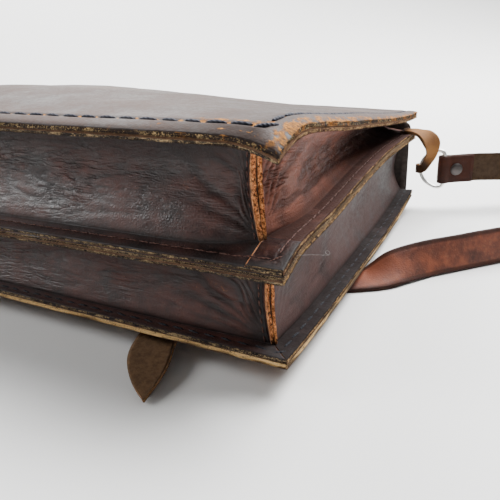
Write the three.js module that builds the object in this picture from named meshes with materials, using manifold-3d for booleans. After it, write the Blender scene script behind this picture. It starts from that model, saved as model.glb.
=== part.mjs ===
// A leather messenger bag lying on its front, back panel up.
// Millimetres: +X to the bag's right side, +Y from its bottom edge to its mouth, +Z up, floor at z = 0.
import * as THREE from 'three';
import { mergeVertices } from 'three/addons/utils/BufferGeometryUtils.js';
import Module from 'manifold-3d';

const BAG_WIDTH = 420;
const BAG_HEIGHT = 280;
const HALF_WIDTH = BAG_WIDTH / 2;

// Leather thicknesses, and the clearance kept between neighbouring pieces and under the back panel
const PANEL_T = 2.7;
const DIVIDER_T = 2;
const GUSSET_T = 1.8;
const FLAP_T = 2.2;
const CLOSURE_T = 2;
const STRAP_T = 2.6;
const TAB_T = 2;
const GAP = 0.35;
const BACK_GAP = 0.55;

// Heights above the floor down the bag's side edge, from its bottom edge (y = 0) to its mouth:
// the front panel's under face, the under side of the middle seam, the back panel's top face,
// how far the back panel's middle swells above its side edges, and how far it puffs up inside its seam.
const SIDE_EDGE = [
  { y: 0, front: 14, middle: 55, back: 116, crown: 4.3, puff: 3 },
  { y: 10, front: 13, middle: 58, back: 116.1, crown: 4, puff: 3 },
  { y: 20, front: 12.2, middle: 60.6, back: 116.3, crown: 4.4, puff: 3 },
  { y: 35, front: 11.2, middle: 61.3, back: 115.8, crown: 6.8, puff: 3 },
  { y: 60, front: 10, middle: 61.5, back: 112.3, crown: 12, puff: 3 },
  { y: 90, front: 9.2, middle: 63.3, back: 107.4, crown: 17.5, puff: 3 },
  { y: 130, front: 8.4, middle: 65.8, back: 101.8, crown: 19, puff: 3 },
  { y: 180, front: 7.4, middle: 67, back: 94.8, crown: 16, puff: 2.5 },
  { y: 220, front: 7.8, middle: 65.5, back: 89.8, crown: 13.2, puff: 1.8 },
  { y: 250, front: 9.2, middle: 64.1, back: 86.6, crown: 11.4, puff: 1 },
  { y: 280, front: 12, middle: 62.5, back: 84.6, crown: 9.5, puff: 0.3 },
];
const CROWN_SOFTNESS = 0.15;
const PUFF_REACH = 14;
const CORNER_DROOP = 6;
const CORNER_REACH = 26;

// Gusset strips: flange depth along the edges, ears of the corner seams, and each wall's flange depth
// and inward bow at its corners and elsewhere. tip is how far up the wall its bow is deepest.
const FLANGE = 11;
const EAR = 6;
const EAR_FULLNESS = 0.35;
const EAR_GAP = 0.3;
const MITRE_GAP = 0.25;
const CORNER_BLEND = 60;
const UPPER_BOW = { cornerFlange: 18, corner: 5, bottom: 12, mouth: 20, bottomTip: 0.58, sideTip: 0.45 };
const LOWER_BOW = { cornerFlange: 12, corner: 4, bottom: 6, mouth: 7, bottomTip: 0.55, sideTip: 0.45 };

// Grid lines of panels and flanges, measured in from the side edges and up from the bottom edge
const FROM_SIDE = [0, 5.5, 11, 19, 30, 60, 100, 155];
const MITRE_X = 30;
const FROM_BOTTOM = [0, 5.5, 11, 18, 28, 42, 65, 95, 130, 165, 200, 235, 262, BAG_HEIGHT];
const MITRE_Y = 42;

// Flap: half widths at its sewn root and beyond, and its profile past the mouth and under the front
const FLAP_ROOT_HALF = HALF_WIDTH - 35;
const FLAP_HALF = HALF_WIDTH - 7;
const FLAP_SEAT = 0.45;
const FLAP_ROOT_ROWS = [264, 273];
const FLAP_COLUMNS = [-1, -0.84, -0.68, -0.5, -0.25, 0, 0.25, 0.5, 0.68, 0.84, 1];
const FLAP_TURN = [
  { y: 281, drop: 0, half: FLAP_ROOT_HALF },
  { y: 284.3, drop: 1.2, half: HALF_WIDTH - 25 },
  { y: 286, drop: 4.2, half: HALF_WIDTH - 15 },
  { y: 286.6, drop: 9, half: FLAP_HALF },
];
const FLAP_FALL = [
  { y: 287, z: 60 },
  { y: 287.2, z: 35 },
  { y: 286.5, z: 14 },
  { y: 284.3, z: 7.6 },
  { y: 279, z: 4 },
  { y: 270, z: 3.4 },
  { y: 210, z: 3.4 },
  { y: 150, z: 3.4 },
  { y: 140, z: 4 },
  { y: 130, z: 5.1 },
  { y: 120, z: 6 },
  { y: 112, z: 6.3 },
  { y: 62, z: 6.3 },
];

// Closure strap, right hand: along the flap, through its keeper and out past the bottom edge.
// inset is how far it lies in from the bag's side edge.
const CLOSURE_WIDTH = 23;
const CLOSURE_TIP = 32;
const CLOSURE_RUN = [
  { inset: 86, y: 262, z: 1 },
  { inset: 86, y: 205, z: 1 },
  { inset: 86, y: 150, z: 1 },
  { inset: 86, y: 140, z: 1.6 },
  { inset: 86, y: 130, z: 2.7 },
  { inset: 86, y: 120, z: 3.6 },
  { inset: 86, y: 112, z: 3.9 },
  { inset: 86, y: 84, z: 3.9 },
  { inset: 85.9, y: 60, z: 4 },
  { inset: 85, y: 45, z: 4.6 },
  { inset: 83, y: 30, z: 5.8 },
  { inset: 79.7, y: 15, z: 6.9 },
  { inset: 75, y: 0, z: 7.2 },
  { inset: 71.6, y: -7, z: 6.8 },
  { inset: 68.2, y: -13, z: 6.1 },
  { inset: 65, y: -18.5, z: 5.2 },
  { inset: 61.7, y: -24, z: 4 },
  { inset: 59.2, y: -28, z: 3 },
  { inset: 57.2, y: -31.2, z: 2.1 },
];
const KEEPER = { inset: 83, y: 30, width: 34, run: 12, wall: 2.6 };

// Ring at the mouth's right corner: a D of wire whose straight bar lies in the strap's fold.
// out is how far a piece lies beyond the bag's side edge, here and below.
const RING = { barOut: 23, y: 288, z: 34.5, halfBar: 14, halfArc: 16, depth: 19, shoulder: 3, wire: 1.5 };
const RING_SIDES = 8;
const RING_STEPS = 26;

// Tab, right hand: sewn on the middle seam's flange, out, twisted down and round the ring's arc.
// across is the direction of its width on the bag's right side.
const TAB_RUN = [
  { out: -8.5, y: 264, z: 71.05, across: [0, 1, -0.05], width: 20 },
  { out: 0.5, y: 264, z: 71.05, across: [0, 1, -0.05], width: 20 },
  { out: 6, y: 264, z: 69.4, across: [0, 0.95, 0.1], width: 17 },
  { out: 11.5, y: 264.5, z: 66, across: [0.25, 0.8, 0.35], width: 16 },
  { out: 15.5, y: 266.5, z: 60.5, across: [0.6, 0.6, 0.4], width: 14 },
  { out: 15.5, y: 269.5, z: 54, across: [0.85, 0.3, 0.3], width: 10 },
  { out: 13.4, y: 274, z: 47.5, across: [0.9, 0.1, -0.3], width: 8 },
  { out: 10.6, y: 279, z: 42, across: [0.6, 0, -0.8], width: 7 },
  { out: 8.4, y: 282.8, z: 38, across: [0.25, 0, -0.97], width: 7 },
  { out: 6.4, y: 284.6, z: 35.4, across: [0, 0, -1], width: 7 },
  { out: 4, y: 284.9, z: 34.5, across: [0, 0, -1], width: 7 },
  { out: 1.8, y: 285.8, z: 34.5, across: [0, 0, -1], width: 7 },
  { out: 0.9, y: 288, z: 34.5, across: [0, 0, -1], width: 7 },
  { out: 1.8, y: 290.2, z: 34.5, across: [0, 0, -1], width: 7 },
  { out: 4, y: 291.1, z: 34.5, across: [0, 0, -1], width: 7 },
  { out: 7, y: 290.8, z: 34.5, across: [0, 0, -1], width: 7 },
];

// Shoulder strap: its folded end in the strap's own direction, and the route of its right half.
// lean is the angle of its width from upright (0) to flat (90).
const STRAP_WIDTH = 23.4;
const STRAP_HEADING = new THREE.Vector3(0.875, 0.484, 0);
const STRAP_FOLD = [
  { along: 25, across: -1.5 },
  { along: 8, across: -1.5 },
  { along: 4.8, across: -1.7 },
  { along: 2.4, across: -2.6 },
  { along: 0, across: -3.4 },
  { along: -2.4, across: -2.4 },
  { along: -3.4, across: 0 },
  { along: -2.4, across: 2.4 },
  { along: 0, across: 3.4 },
  { along: 2.4, across: 2.6 },
  { along: 4.8, across: 1.7 },
  { along: 8, across: 1.5 },
  { along: 25, across: 1.5 },
];
const STRAP_ROUTE = [
  { out: 66, y: 312, lift: 22, lean: 0 },
  { out: 95, y: 324, lift: 20.5, lean: 0 },
  { out: 130, y: 326, lift: 16, lean: 0 },
  { out: 156, y: 308, lift: 10, lean: 0 },
  { out: 162, y: 278, lift: 5, lean: 2 },
  { out: 148, y: 248, lift: 1.6, lean: 6 },
  { out: 115, y: 217, lift: 0.2, lean: 16 },
  { out: 77, y: 185, lift: 0, lean: 22 },
  { out: 53, y: 163, lift: 0, lean: 27 },
  { out: 35, y: 147, lift: 0, lean: 36 },
  { out: 19, y: 132, lift: 0, lean: 58 },
  { out: 5, y: 121.5, lift: 0, lean: 86 },
  { out: -15, y: 111.5, lift: 0, lean: 90 },
  { out: -70, y: 93.5, lift: 0, lean: 90 },
  { out: -140, y: 79, lift: 0, lean: 90 },
  { out: -HALF_WIDTH, y: 74, lift: 0, lean: 90 },
];
const STRAP_STEPS_PER_SPAN = 2;

// Rivet through the strap's two layers; its domed heads' shoulders are shares of the head's size
const RIVET = { along: 10.4, shank: 2, head: 5.2, seat: 3.05, dome: 1.8, hole: 2.3, sides: 16 };
const RIVET_SHOULDER = { radius: 0.7, height: 0.75 };

const SIDES = [
  { name: 'left', sign: -1 },
  { name: 'right', sign: 1 },
];

const LEATHER_BACK = { color: 0x5a4238, roughness: 0.55, metalness: 0 };
const LEATHER_GUSSET = { color: 0x4a2e28, roughness: 0.5, metalness: 0 };
const LEATHER_STRAP = { color: 0x6b4536, roughness: 0.55, metalness: 0 };
const LEATHER_TAB = { color: 0xb08050, roughness: 0.85, metalness: 0 };
const STEEL = { color: 0xc8c8c4, roughness: 0.3, metalness: 1 };
const OLD_BRASS = { color: 0x55493f, roughness: 0.45, metalness: 0.9 };

const wasm = await Module();
wasm.setup();

function smoothStep(edge, at) {
  const t = THREE.MathUtils.clamp(at / edge, 0, 1);
  return t * t * (3 - 2 * t);
}

// One column of the side-edge table, as a smooth curve through its rows
function sideHeight(column, y) {
  const rows = SIDE_EDGE;
  const last = rows.length - 2;
  let i = rows.findIndex((row) => row.y > y) - 1;
  i = i < 0 ? last : Math.min(i, last);
  const slope = (k) => {
    const low = rows[Math.max(k - 1, 0)];
    const high = rows[Math.min(k + 1, rows.length - 1)];
    return (high[column] - low[column]) / (high.y - low.y);
  };
  const span = rows[i + 1].y - rows[i].y;
  const t = (y - rows[i].y) / span;
  const rise = rows[i + 1][column] - rows[i][column];
  const start = slope(i) * span;
  const end = slope(i + 1) * span;
  const bend = 3 * rise - 2 * start - end;
  const twist = start + end - 2 * rise;
  return rows[i][column] + t * start + t * t * bend + t ** 3 * twist;
}

function backTop(x, y) {
  const fromSide = HALF_WIDTH - Math.abs(x);
  const away = (share) => Math.hypot(share, CROWN_SOFTNESS) - CROWN_SOFTNESS;
  const crown = sideHeight('crown', y) * (1 - away(x / HALF_WIDTH) / away(1));
  const near = (distance, reach) => Math.max(0, 1 - distance / reach) ** 2;
  const puff = sideHeight('puff', y) * (1 - near(Math.min(fromSide, y), PUFF_REACH));
  const droop = CORNER_DROOP * near(fromSide, CORNER_REACH) * near(y, CORNER_REACH);
  return sideHeight('back', y) + crown + puff - droop;
}

function middleLow(x, y) {
  return sideHeight('middle', y);
}

function frontLow(x, y) {
  return sideHeight('front', y);
}

// Mid-surfaces of the four flanges, stacked from the panels by their thicknesses
const dividerLow = (x, y) => middleLow(x, y) + GUSSET_T + GAP;
const upperFlangeHigh = (x, y) => backTop(x, y) - PANEL_T - BACK_GAP - GUSSET_T / 2;
const upperFlangeLow = (x, y) => dividerLow(x, y) + DIVIDER_T + GAP + GUSSET_T / 2;
const lowerFlangeHigh = (x, y) => middleLow(x, y) + GUSSET_T / 2;
const lowerFlangeLow = (x, y) => frontLow(x, y) + PANEL_T + GAP + GUSSET_T / 2;

function geometryFrom(points, triangles) {
  const geometry = new THREE.BufferGeometry();
  const positions = points.flatMap((point) => [point.x, point.y, point.z]);
  geometry.setAttribute('position', new THREE.Float32BufferAttribute(positions, 3));
  geometry.setIndex(triangles.flat());
  geometry.computeVertexNormals();
  return geometry;
}

// A closed wall from a grid of points: offset above and below along its normals, or along one direction.
// Points that coincide become one, so a row may run out to nothing.
function sheet(grid, above, below, direction = null) {
  const points = [];
  const known = new Map();
  const ids = grid.map((row) => row.map((point) => {
    const key = point.toArray().map((value) => value.toFixed(4)).join();
    if (!known.has(key)) {
      known.set(key, points.length);
      points.push(point);
    }
    return known.get(key);
  }));
  const faces = [];
  const addFace = (a, b, c) => {
    if (a !== b && b !== c && c !== a) {
      faces.push([a, b, c]);
    }
  };
  for (let r = 0; r + 1 < ids.length; r += 1) {
    for (let c = 0; c + 1 < ids[r].length; c += 1) {
      const [a, b, d, e] = [ids[r][c], ids[r][c + 1], ids[r + 1][c + 1], ids[r + 1][c]];
      if (points[a].distanceTo(points[d]) <= points[b].distanceTo(points[e])) {
        addFace(a, b, d);
        addFace(a, d, e);
      } else {
        addFace(a, b, e);
        addFace(b, d, e);
      }
    }
  }
  const normals = points.map(() => new THREE.Vector3());
  for (const [a, b, c] of faces) {
    const first = points[b].clone().sub(points[a]);
    const second = points[c].clone().sub(points[a]);
    const normal = first.cross(second);
    [a, b, c].forEach((id) => normals[id].add(normal));
  }
  normals.forEach((normal) => (direction ? normal.copy(direction) : normal.normalize()));
  const outer = points.map((point, id) => point.clone().addScaledVector(normals[id], above));
  const inner = points.map((point, id) => point.clone().addScaledVector(normals[id], -below));
  const count = points.length;
  const edges = new Set();
  faces.forEach(([a, b, c]) => [[a, b], [b, c], [c, a]].forEach((edge) => edges.add(edge.join())));
  const triangles = [];
  for (const [a, b, c] of faces) {
    triangles.push([a, b, c], [a + count, c + count, b + count]);
    for (const [from, to] of [[a, b], [b, c], [c, a]]) {
      if (!edges.has([to, from].join())) {
        triangles.push([to, from, from + count], [to, from + count, to + count]);
      }
    }
  }
  return geometryFrom([...outer, ...inner], triangles);
}

function solidOf(geometry) {
  const bare = geometry.clone();
  bare.deleteAttribute('normal');
  bare.deleteAttribute('uv');
  const merged = mergeVertices(bare);
  const mesh = new wasm.Mesh({
    numProp: 3,
    vertProperties: new Float32Array(merged.attributes.position.array),
    triVerts: new Uint32Array(merged.index.array),
  });
  return new wasm.Manifold(mesh);
}

function geometryOf(solid) {
  const { vertProperties, triVerts } = solid.getMesh();
  const geometry = new THREE.BufferGeometry();
  geometry.setAttribute('position', new THREE.BufferAttribute(vertProperties, 3));
  geometry.setIndex(new THREE.BufferAttribute(triVerts, 1));
  geometry.computeVertexNormals();
  return geometry;
}

function panel(heightAt, above, below) {
  const right = FROM_SIDE.map((inset) => HALF_WIDTH - inset);
  const across = [...right.map((x) => -x), 0, ...right.reverse()];
  const grid = FROM_BOTTOM.map((y) => across.map((x) => new THREE.Vector3(x, y, heightAt(x, y))));
  return sheet(grid, above, below, new THREE.Vector3(0, 0, 1));
}

// Lines of a gusset's section, from the lower flange's edge up the bowed wall to the upper one's.
// A flange line lies at a share of the flange's depth, and a wall line at a share of the wall's height.
const SECTION = [
  ...[0, 0.5, 1].map((share) => ({ share, flange: 'low' })),
  ...[0.1, 0.28, 0.5, 0.72, 0.9].map((share) => ({ share })),
  ...[1, 0.5, 0].map((share) => ({ share, flange: 'high' })),
];

// How deep the wall's bow is at a share of its height, from none at the flanges to all at the tip
function bowShare(share, tip) {
  return Math.sin(Math.PI * share ** (Math.log(0.5) / Math.log(tip)));
}

function earShare(line) {
  return line.flange ? 0 : bowShare(line.share, 0.5) ** EAR_FULLNESS;
}

// Where one line of the section lies at a place along the strip. plan turns an offset into (x, y).
function gussetPoint(line, plan, low, high, { base, bow, tip }) {
  if (line.flange) {
    const offset = line.share * base;
    const [x, y] = plan(offset + MITRE_GAP, offset);
    return new THREE.Vector3(x, y, line.flange === 'low' ? low(x, y) : high(x, y));
  }
  const offset = base + bow * bowShare(line.share, tip);
  const seam = MITRE_GAP + Math.SQRT2 * (GUSSET_T + EAR_GAP) / 2 * earShare(line);
  const [x, y] = plan(offset + seam, offset);
  const [flangeX, flangeY] = plan(base + MITRE_GAP, base);
  const z = THREE.MathUtils.lerp(low(flangeX, flangeY), high(flangeX, flangeY), line.share);
  return new THREE.Vector3(x, y, z);
}

function withEar(column, sign) {
  return column.map((point, i) => {
    const ear = EAR * earShare(SECTION[i]);
    return point.clone().addScaledVector(new THREE.Vector3(sign, -1, 0), ear / Math.SQRT2);
  });
}

// Cuts a strip off at the upright plane through a bottom corner, at 45 degrees to both edges.
// kept is 1 for the side strip's half and -1 for the bottom strip's.
function trimAtCorner(solid, sign, kept) {
  const normal = [kept * sign * Math.SQRT1_2, kept * Math.SQRT1_2, 0];
  return solid.trimByPlane(normal, kept * HALF_WIDTH * Math.SQRT1_2 + EAR_GAP / 2);
}

function bottomGusset(low, high, bows) {
  const right = FROM_SIDE.map((inset) => HALF_WIDTH - inset).reverse();
  const stations = [...right.map((x) => -x).reverse(), 0, ...right];
  const columns = stations.map((station) => {
    const fromCorner = HALF_WIDTH - Math.abs(station);
    const middle = smoothStep(CORNER_BLEND, fromCorner);
    const shape = {
      base: THREE.MathUtils.lerp(bows.cornerFlange, FLANGE, middle),
      bow: THREE.MathUtils.lerp(bows.corner, bows.bottom, middle),
      tip: THREE.MathUtils.lerp(0.5, bows.bottomTip, middle),
    };
    const plan = (mitre, offset) => {
      const squeezed = HALF_WIDTH - MITRE_X + (MITRE_X - fromCorner) / MITRE_X * (MITRE_X - mitre);
      const x = fromCorner < MITRE_X ? Math.sign(station) * squeezed : station;
      return [x, offset];
    };
    return SECTION.map((line) => gussetPoint(line, plan, low, high, shape));
  });
  const grid = [withEar(columns[0], -1), ...columns, withEar(columns[columns.length - 1], 1)];
  let solid = solidOf(sheet(grid, GUSSET_T / 2, GUSSET_T / 2));
  for (const { sign } of SIDES) {
    solid = trimAtCorner(solid, sign, -1);
  }
  return geometryOf(solid);
}

function sideGusset(low, high, bows, sign) {
  const columns = FROM_BOTTOM.map((station) => {
    const along = smoothStep(CORNER_BLEND, station);
    const shape = {
      base: THREE.MathUtils.lerp(bows.cornerFlange, FLANGE, along),
      bow: THREE.MathUtils.lerp(bows.corner, bows.mouth, smoothStep(BAG_HEIGHT, station)),
      tip: THREE.MathUtils.lerp(0.5, bows.sideTip, along),
    };
    const plan = (mitre, offset) => {
      const squeezed = MITRE_Y - (MITRE_Y - station) / MITRE_Y * (MITRE_Y - mitre);
      return [sign * (HALF_WIDTH - offset), station < MITRE_Y ? squeezed : station];
    };
    return SECTION.map((line) => gussetPoint(line, plan, low, high, shape));
  });
  const whole = sheet([withEar(columns[0], sign), ...columns], GUSSET_T / 2, GUSSET_T / 2);
  return geometryOf(trimAtCorner(solidOf(whole), sign, 1));
}

function flap() {
  const rootZ = (x, y) => backTop(x, y) - PANEL_T - FLAP_SEAT - FLAP_T / 2;
  const row = (half, pointAt) => FLAP_COLUMNS.map((share) => pointAt(share * half));
  const grid = [
    ...FLAP_ROOT_ROWS.map((y) => row(FLAP_ROOT_HALF, (x) => new THREE.Vector3(x, y, rootZ(x, y)))),
    ...FLAP_TURN.map(({ y, drop, half }) => row(half, (x) => (
      new THREE.Vector3(x, y, rootZ(x, BAG_HEIGHT) - drop)
    ))),
    ...FLAP_FALL.map(({ y, z }) => row(FLAP_HALF, (x) => new THREE.Vector3(x, y, z))),
  ];
  return sheet(grid, FLAP_T / 2, FLAP_T / 2);
}

// A flat strip: two edges at half its width either side of each point, thickened
function strip(points, thickness) {
  const edge = (sign) => points.map(({ at, across, width }) => (
    at.clone().addScaledVector(across, sign * width / 2)
  ));
  return sheet([edge(-1), edge(1)], thickness / 2, thickness / 2);
}

function headings(points) {
  return points.map((_, i) => {
    const from = points[Math.max(i - 1, 0)];
    const to = points[Math.min(i + 1, points.length - 1)];
    return to.clone().sub(from).normalize();
  });
}

// Points given by how far out they lie from the side edge on one side
function besideEdge(rows, sign) {
  return rows.map(({ out, y, z }) => new THREE.Vector3(sign * (HALF_WIDTH + out), y, z));
}

function closureStrap(sign) {
  const points = besideEdge(CLOSURE_RUN.map(({ inset, y, z }) => ({ out: -inset, y, z })), sign);
  const tip = points[points.length - 1];
  const ways = headings(points);
  const up = new THREE.Vector3(0, 0, 1);
  return strip(points.map((at, i) => {
    const short = Math.min(1, at.distanceTo(tip) / CLOSURE_TIP);
    const ogive = 1 - (1 - short) ** 2;
    return { at, across: ways[i].clone().cross(up).normalize(), width: CLOSURE_WIDTH * ogive };
  }), CLOSURE_T);
}

function keeper(sign) {
  const x = HALF_WIDTH - KEEPER.inset;
  const under = frontLow(x, KEEPER.y + KEEPER.run / 2) - GAP;
  const frame = new THREE.Shape();
  frame.moveTo(-KEEPER.width / 2, 0);
  frame.lineTo(KEEPER.width / 2, 0);
  frame.lineTo(KEEPER.width / 2, under);
  frame.lineTo(-KEEPER.width / 2, under);
  const slot = new THREE.Path();
  const halfSlot = KEEPER.width / 2 - KEEPER.wall;
  slot.moveTo(-halfSlot, KEEPER.wall);
  slot.lineTo(-halfSlot, under - KEEPER.wall);
  slot.lineTo(halfSlot, under - KEEPER.wall);
  slot.lineTo(halfSlot, KEEPER.wall);
  frame.holes.push(slot);
  const geometry = new THREE.ExtrudeGeometry(frame, { depth: KEEPER.run, bevelEnabled: false });
  geometry.rotateX(Math.PI / 2);
  geometry.translate(sign * x, KEEPER.y + KEEPER.run / 2, 0);
  return geometry;
}

function ring(sign) {
  const barX = HALF_WIDTH + RING.barOut;
  const arc = [-90, -60, -30, 0, 30, 60, 90].map((angle) => {
    const turn = THREE.MathUtils.degToRad(angle);
    const x = barX - RING.shoulder - (RING.depth - RING.shoulder) * Math.cos(turn);
    return [x, RING.z + RING.halfArc * Math.sin(turn)];
  });
  const bar = [RING.halfBar, 0, -RING.halfBar].map((height) => [barX, RING.z + height]);
  const path = [...arc, ...bar].map(([x, z]) => new THREE.Vector3(sign * x, RING.y, z));
  const curve = new THREE.CatmullRomCurve3(path, true, 'centripetal');
  return new THREE.TubeGeometry(curve, RING_STEPS, RING.wire, RING_SIDES, true);
}

function ringTab(sign) {
  const points = besideEdge(TAB_RUN, sign);
  const ways = headings(points);
  return strip(points.map((at, i) => {
    const [x, y, z] = TAB_RUN[i].across;
    const across = new THREE.Vector3(sign * x, y, z);
    across.addScaledVector(ways[i], -across.dot(ways[i])).normalize();
    return { at, across, width: TAB_RUN[i].width };
  }), TAB_T);
}

// The strap's own directions at its right-hand fold: along it, and across its thickness
const STRAP_ALONG = STRAP_HEADING.clone().normalize();
const STRAP_ACROSS = new THREE.Vector3(-STRAP_ALONG.y, STRAP_ALONG.x, 0);

function foldPoint(along, across) {
  const at = new THREE.Vector3(HALF_WIDTH + RING.barOut, RING.y, RING.z);
  return at.addScaledVector(STRAP_ALONG, along).addScaledVector(STRAP_ACROSS, across);
}

// Right half of the strap as points with their widths' directions, from its folded end to the middle
function strapHalf() {
  const fold = STRAP_FOLD.map(({ along, across }) => ({ at: foldPoint(along, across), lean: 0 }));
  const route = STRAP_ROUTE.map(({ out, y, lift, lean }) => {
    const turn = THREE.MathUtils.degToRad(lean);
    const rise = STRAP_WIDTH / 2 * Math.cos(turn) + STRAP_T / 2 * Math.sin(turn);
    return { at: new THREE.Vector3(HALF_WIDTH + out, y, lift + rise), lean };
  });
  const stops = [...fold, ...route];
  const curve = new THREE.CatmullRomCurve3(stops.map((stop) => stop.at), false, 'centripetal');
  const spans = stops.length - 1;
  const steps = spans * STRAP_STEPS_PER_SPAN;
  return Array.from({ length: steps + 1 }, (_, i) => {
    const place = i / STRAP_STEPS_PER_SPAN;
    const before = Math.min(Math.floor(place), spans - 1);
    const lean = THREE.MathUtils.lerp(stops[before].lean, stops[before + 1].lean, place - before);
    const turn = THREE.MathUtils.degToRad(lean);
    const at = curve.getPoint(i / steps);
    const way = curve.getTangent(i / steps);
    const level = new THREE.Vector3(way.y, -way.x, 0).normalize();
    const across = new THREE.Vector3(0, 0, Math.cos(turn)).addScaledVector(level, Math.sin(turn));
    across.addScaledVector(way, -across.dot(way)).normalize();
    const reach = Math.abs(across.z) * STRAP_WIDTH + Math.hypot(across.x, across.y) * STRAP_T;
    at.z = Math.max(at.z, reach / 2);
    return { at, across, width: STRAP_WIDTH };
  });
}

function shoulderStrap() {
  const right = strapHalf();
  const left = right.slice(0, -1).reverse().map(({ at, across, width }) => ({
    at: new THREE.Vector3(-at.x, at.y, at.z),
    across: new THREE.Vector3(-across.x, across.y, across.z),
    width,
  }));
  return strip([...right, ...left], STRAP_T);
}

// Turns a shape made along +Y to lie across the strap's folded end, where its rivet goes
function placeAtRivet(geometry, sign) {
  const axis = new THREE.Vector3(sign * STRAP_ACROSS.x, STRAP_ACROSS.y, 0);
  geometry.applyQuaternion(new THREE.Quaternion().setFromUnitVectors(new THREE.Vector3(0, 1, 0), axis));
  const at = foldPoint(RIVET.along, 0);
  geometry.translate(sign * at.x, at.y, at.z);
  return geometry;
}

function rivet(sign) {
  const shoulder = RIVET.head * RIVET_SHOULDER.radius;
  const shoulderTop = RIVET.seat + RIVET.dome * RIVET_SHOULDER.height;
  const profile = [
    [0, -RIVET.seat - RIVET.dome],
    [shoulder, -shoulderTop],
    [RIVET.head, -RIVET.seat],
    [RIVET.shank, -RIVET.seat],
    [RIVET.shank, RIVET.seat],
    [RIVET.head, RIVET.seat],
    [shoulder, shoulderTop],
    [0, RIVET.seat + RIVET.dome],
  ];
  const points = profile.map(([radius, height]) => new THREE.Vector2(radius, height));
  return placeAtRivet(new THREE.LatheGeometry(points, RIVET.sides), sign);
}

function drilledStrap() {
  let solid = solidOf(shoulderStrap());
  for (const { sign } of SIDES) {
    const drill = new THREE.CylinderGeometry(RIVET.hole, RIVET.hole, 4 * RIVET.seat, RIVET.sides);
    solid = solid.subtract(solidOf(placeAtRivet(drill, sign)));
  }
  return geometryOf(solid);
}

const bag = new THREE.Group();

function addPiece(name, geometry, finish) {
  const mesh = new THREE.Mesh(geometry, new THREE.MeshStandardMaterial(finish));
  mesh.name = name;
  bag.add(mesh);
}

addPiece('back_panel', panel(backTop, 0, PANEL_T), LEATHER_BACK);
addPiece('divider_panel', panel(dividerLow, DIVIDER_T, 0), LEATHER_GUSSET);
addPiece('front_panel', panel(frontLow, PANEL_T, 0), LEATHER_GUSSET);
addPiece('upper_bottom_gusset', bottomGusset(upperFlangeLow, upperFlangeHigh, UPPER_BOW), LEATHER_GUSSET);
addPiece('lower_bottom_gusset', bottomGusset(lowerFlangeLow, lowerFlangeHigh, LOWER_BOW), LEATHER_GUSSET);
addPiece('flap', flap(), LEATHER_GUSSET);
addPiece('shoulder_strap', drilledStrap(), LEATHER_STRAP);
for (const { name, sign } of SIDES) {
  const upper = sideGusset(upperFlangeLow, upperFlangeHigh, UPPER_BOW, sign);
  const lower = sideGusset(lowerFlangeLow, lowerFlangeHigh, LOWER_BOW, sign);
  addPiece(`upper_side_gusset_${name}`, upper, LEATHER_GUSSET);
  addPiece(`lower_side_gusset_${name}`, lower, LEATHER_GUSSET);
  addPiece(`closure_strap_${name}`, closureStrap(sign), LEATHER_STRAP);
  addPiece(`closure_keeper_${name}`, keeper(sign), LEATHER_STRAP);
  addPiece(`ring_tab_${name}`, ringTab(sign), LEATHER_TAB);
  addPiece(`strap_ring_${name}`, ring(sign), STEEL);
  addPiece(`strap_rivet_${name}`, rivet(sign), OLD_BRASS);
}

// The origin is the middle of the whole bag's footprint on the floor
const footprint = new THREE.Box3().setFromObject(bag);
bag.position.y = -(footprint.min.y + footprint.max.y) / 2;

export default bag;
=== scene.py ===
# A worn leather messenger bag lying on its front on a pale table, back panel up.
# Sizes are in millimetres in the bag's own frame: +X to its right side, +Y from its bottom edge
# to its mouth, +Z up from the table. They become metres where a mesh is made.
import math

import bmesh
import bpy
import numpy as np
from mathutils import Matrix, Vector


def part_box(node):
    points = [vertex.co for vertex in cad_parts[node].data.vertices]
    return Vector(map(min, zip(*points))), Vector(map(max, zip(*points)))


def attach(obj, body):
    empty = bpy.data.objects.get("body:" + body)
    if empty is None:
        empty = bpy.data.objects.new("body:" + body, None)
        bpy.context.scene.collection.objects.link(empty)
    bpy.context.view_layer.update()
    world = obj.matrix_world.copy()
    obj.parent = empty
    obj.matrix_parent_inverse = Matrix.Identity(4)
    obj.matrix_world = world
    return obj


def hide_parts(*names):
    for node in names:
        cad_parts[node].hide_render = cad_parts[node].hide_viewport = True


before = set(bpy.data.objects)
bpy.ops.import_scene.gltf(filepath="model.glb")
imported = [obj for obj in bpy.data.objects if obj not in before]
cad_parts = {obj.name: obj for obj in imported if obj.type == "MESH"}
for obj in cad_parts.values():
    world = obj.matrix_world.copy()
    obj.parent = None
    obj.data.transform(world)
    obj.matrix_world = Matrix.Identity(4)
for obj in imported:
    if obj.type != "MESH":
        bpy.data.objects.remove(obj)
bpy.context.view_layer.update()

# Camera: a phone held a little above the bag, off its right bottom corner. Its place and turn were
# fitted to the bag's edges in the picture, and are given from the bag's bottom edge on the table.
MM = 0.001
BOTTOM_EDGE_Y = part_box("back_panel")[0][1]
CAMERA_AT = (286.9, -165.7, 149.3)
CAMERA_YAW, CAMERA_PITCH, CAMERA_ROLL = (math.radians(angle) for angle in (28.89, 22.86, -3.86))
CAMERA_LENS, CAMERA_SENSOR = 36.03, 36


def to_row(points):
    """Points of the bag's frame, in millimetres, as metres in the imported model's frame."""
    return np.asarray(points, dtype=float) * MM + np.array([0, BOTTOM_EDGE_Y, 0])


def show(name, data):
    """A new object of the scene with the given data."""
    made = bpy.data.objects.new(name, data)
    bpy.context.scene.collection.objects.link(made)
    return made


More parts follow.
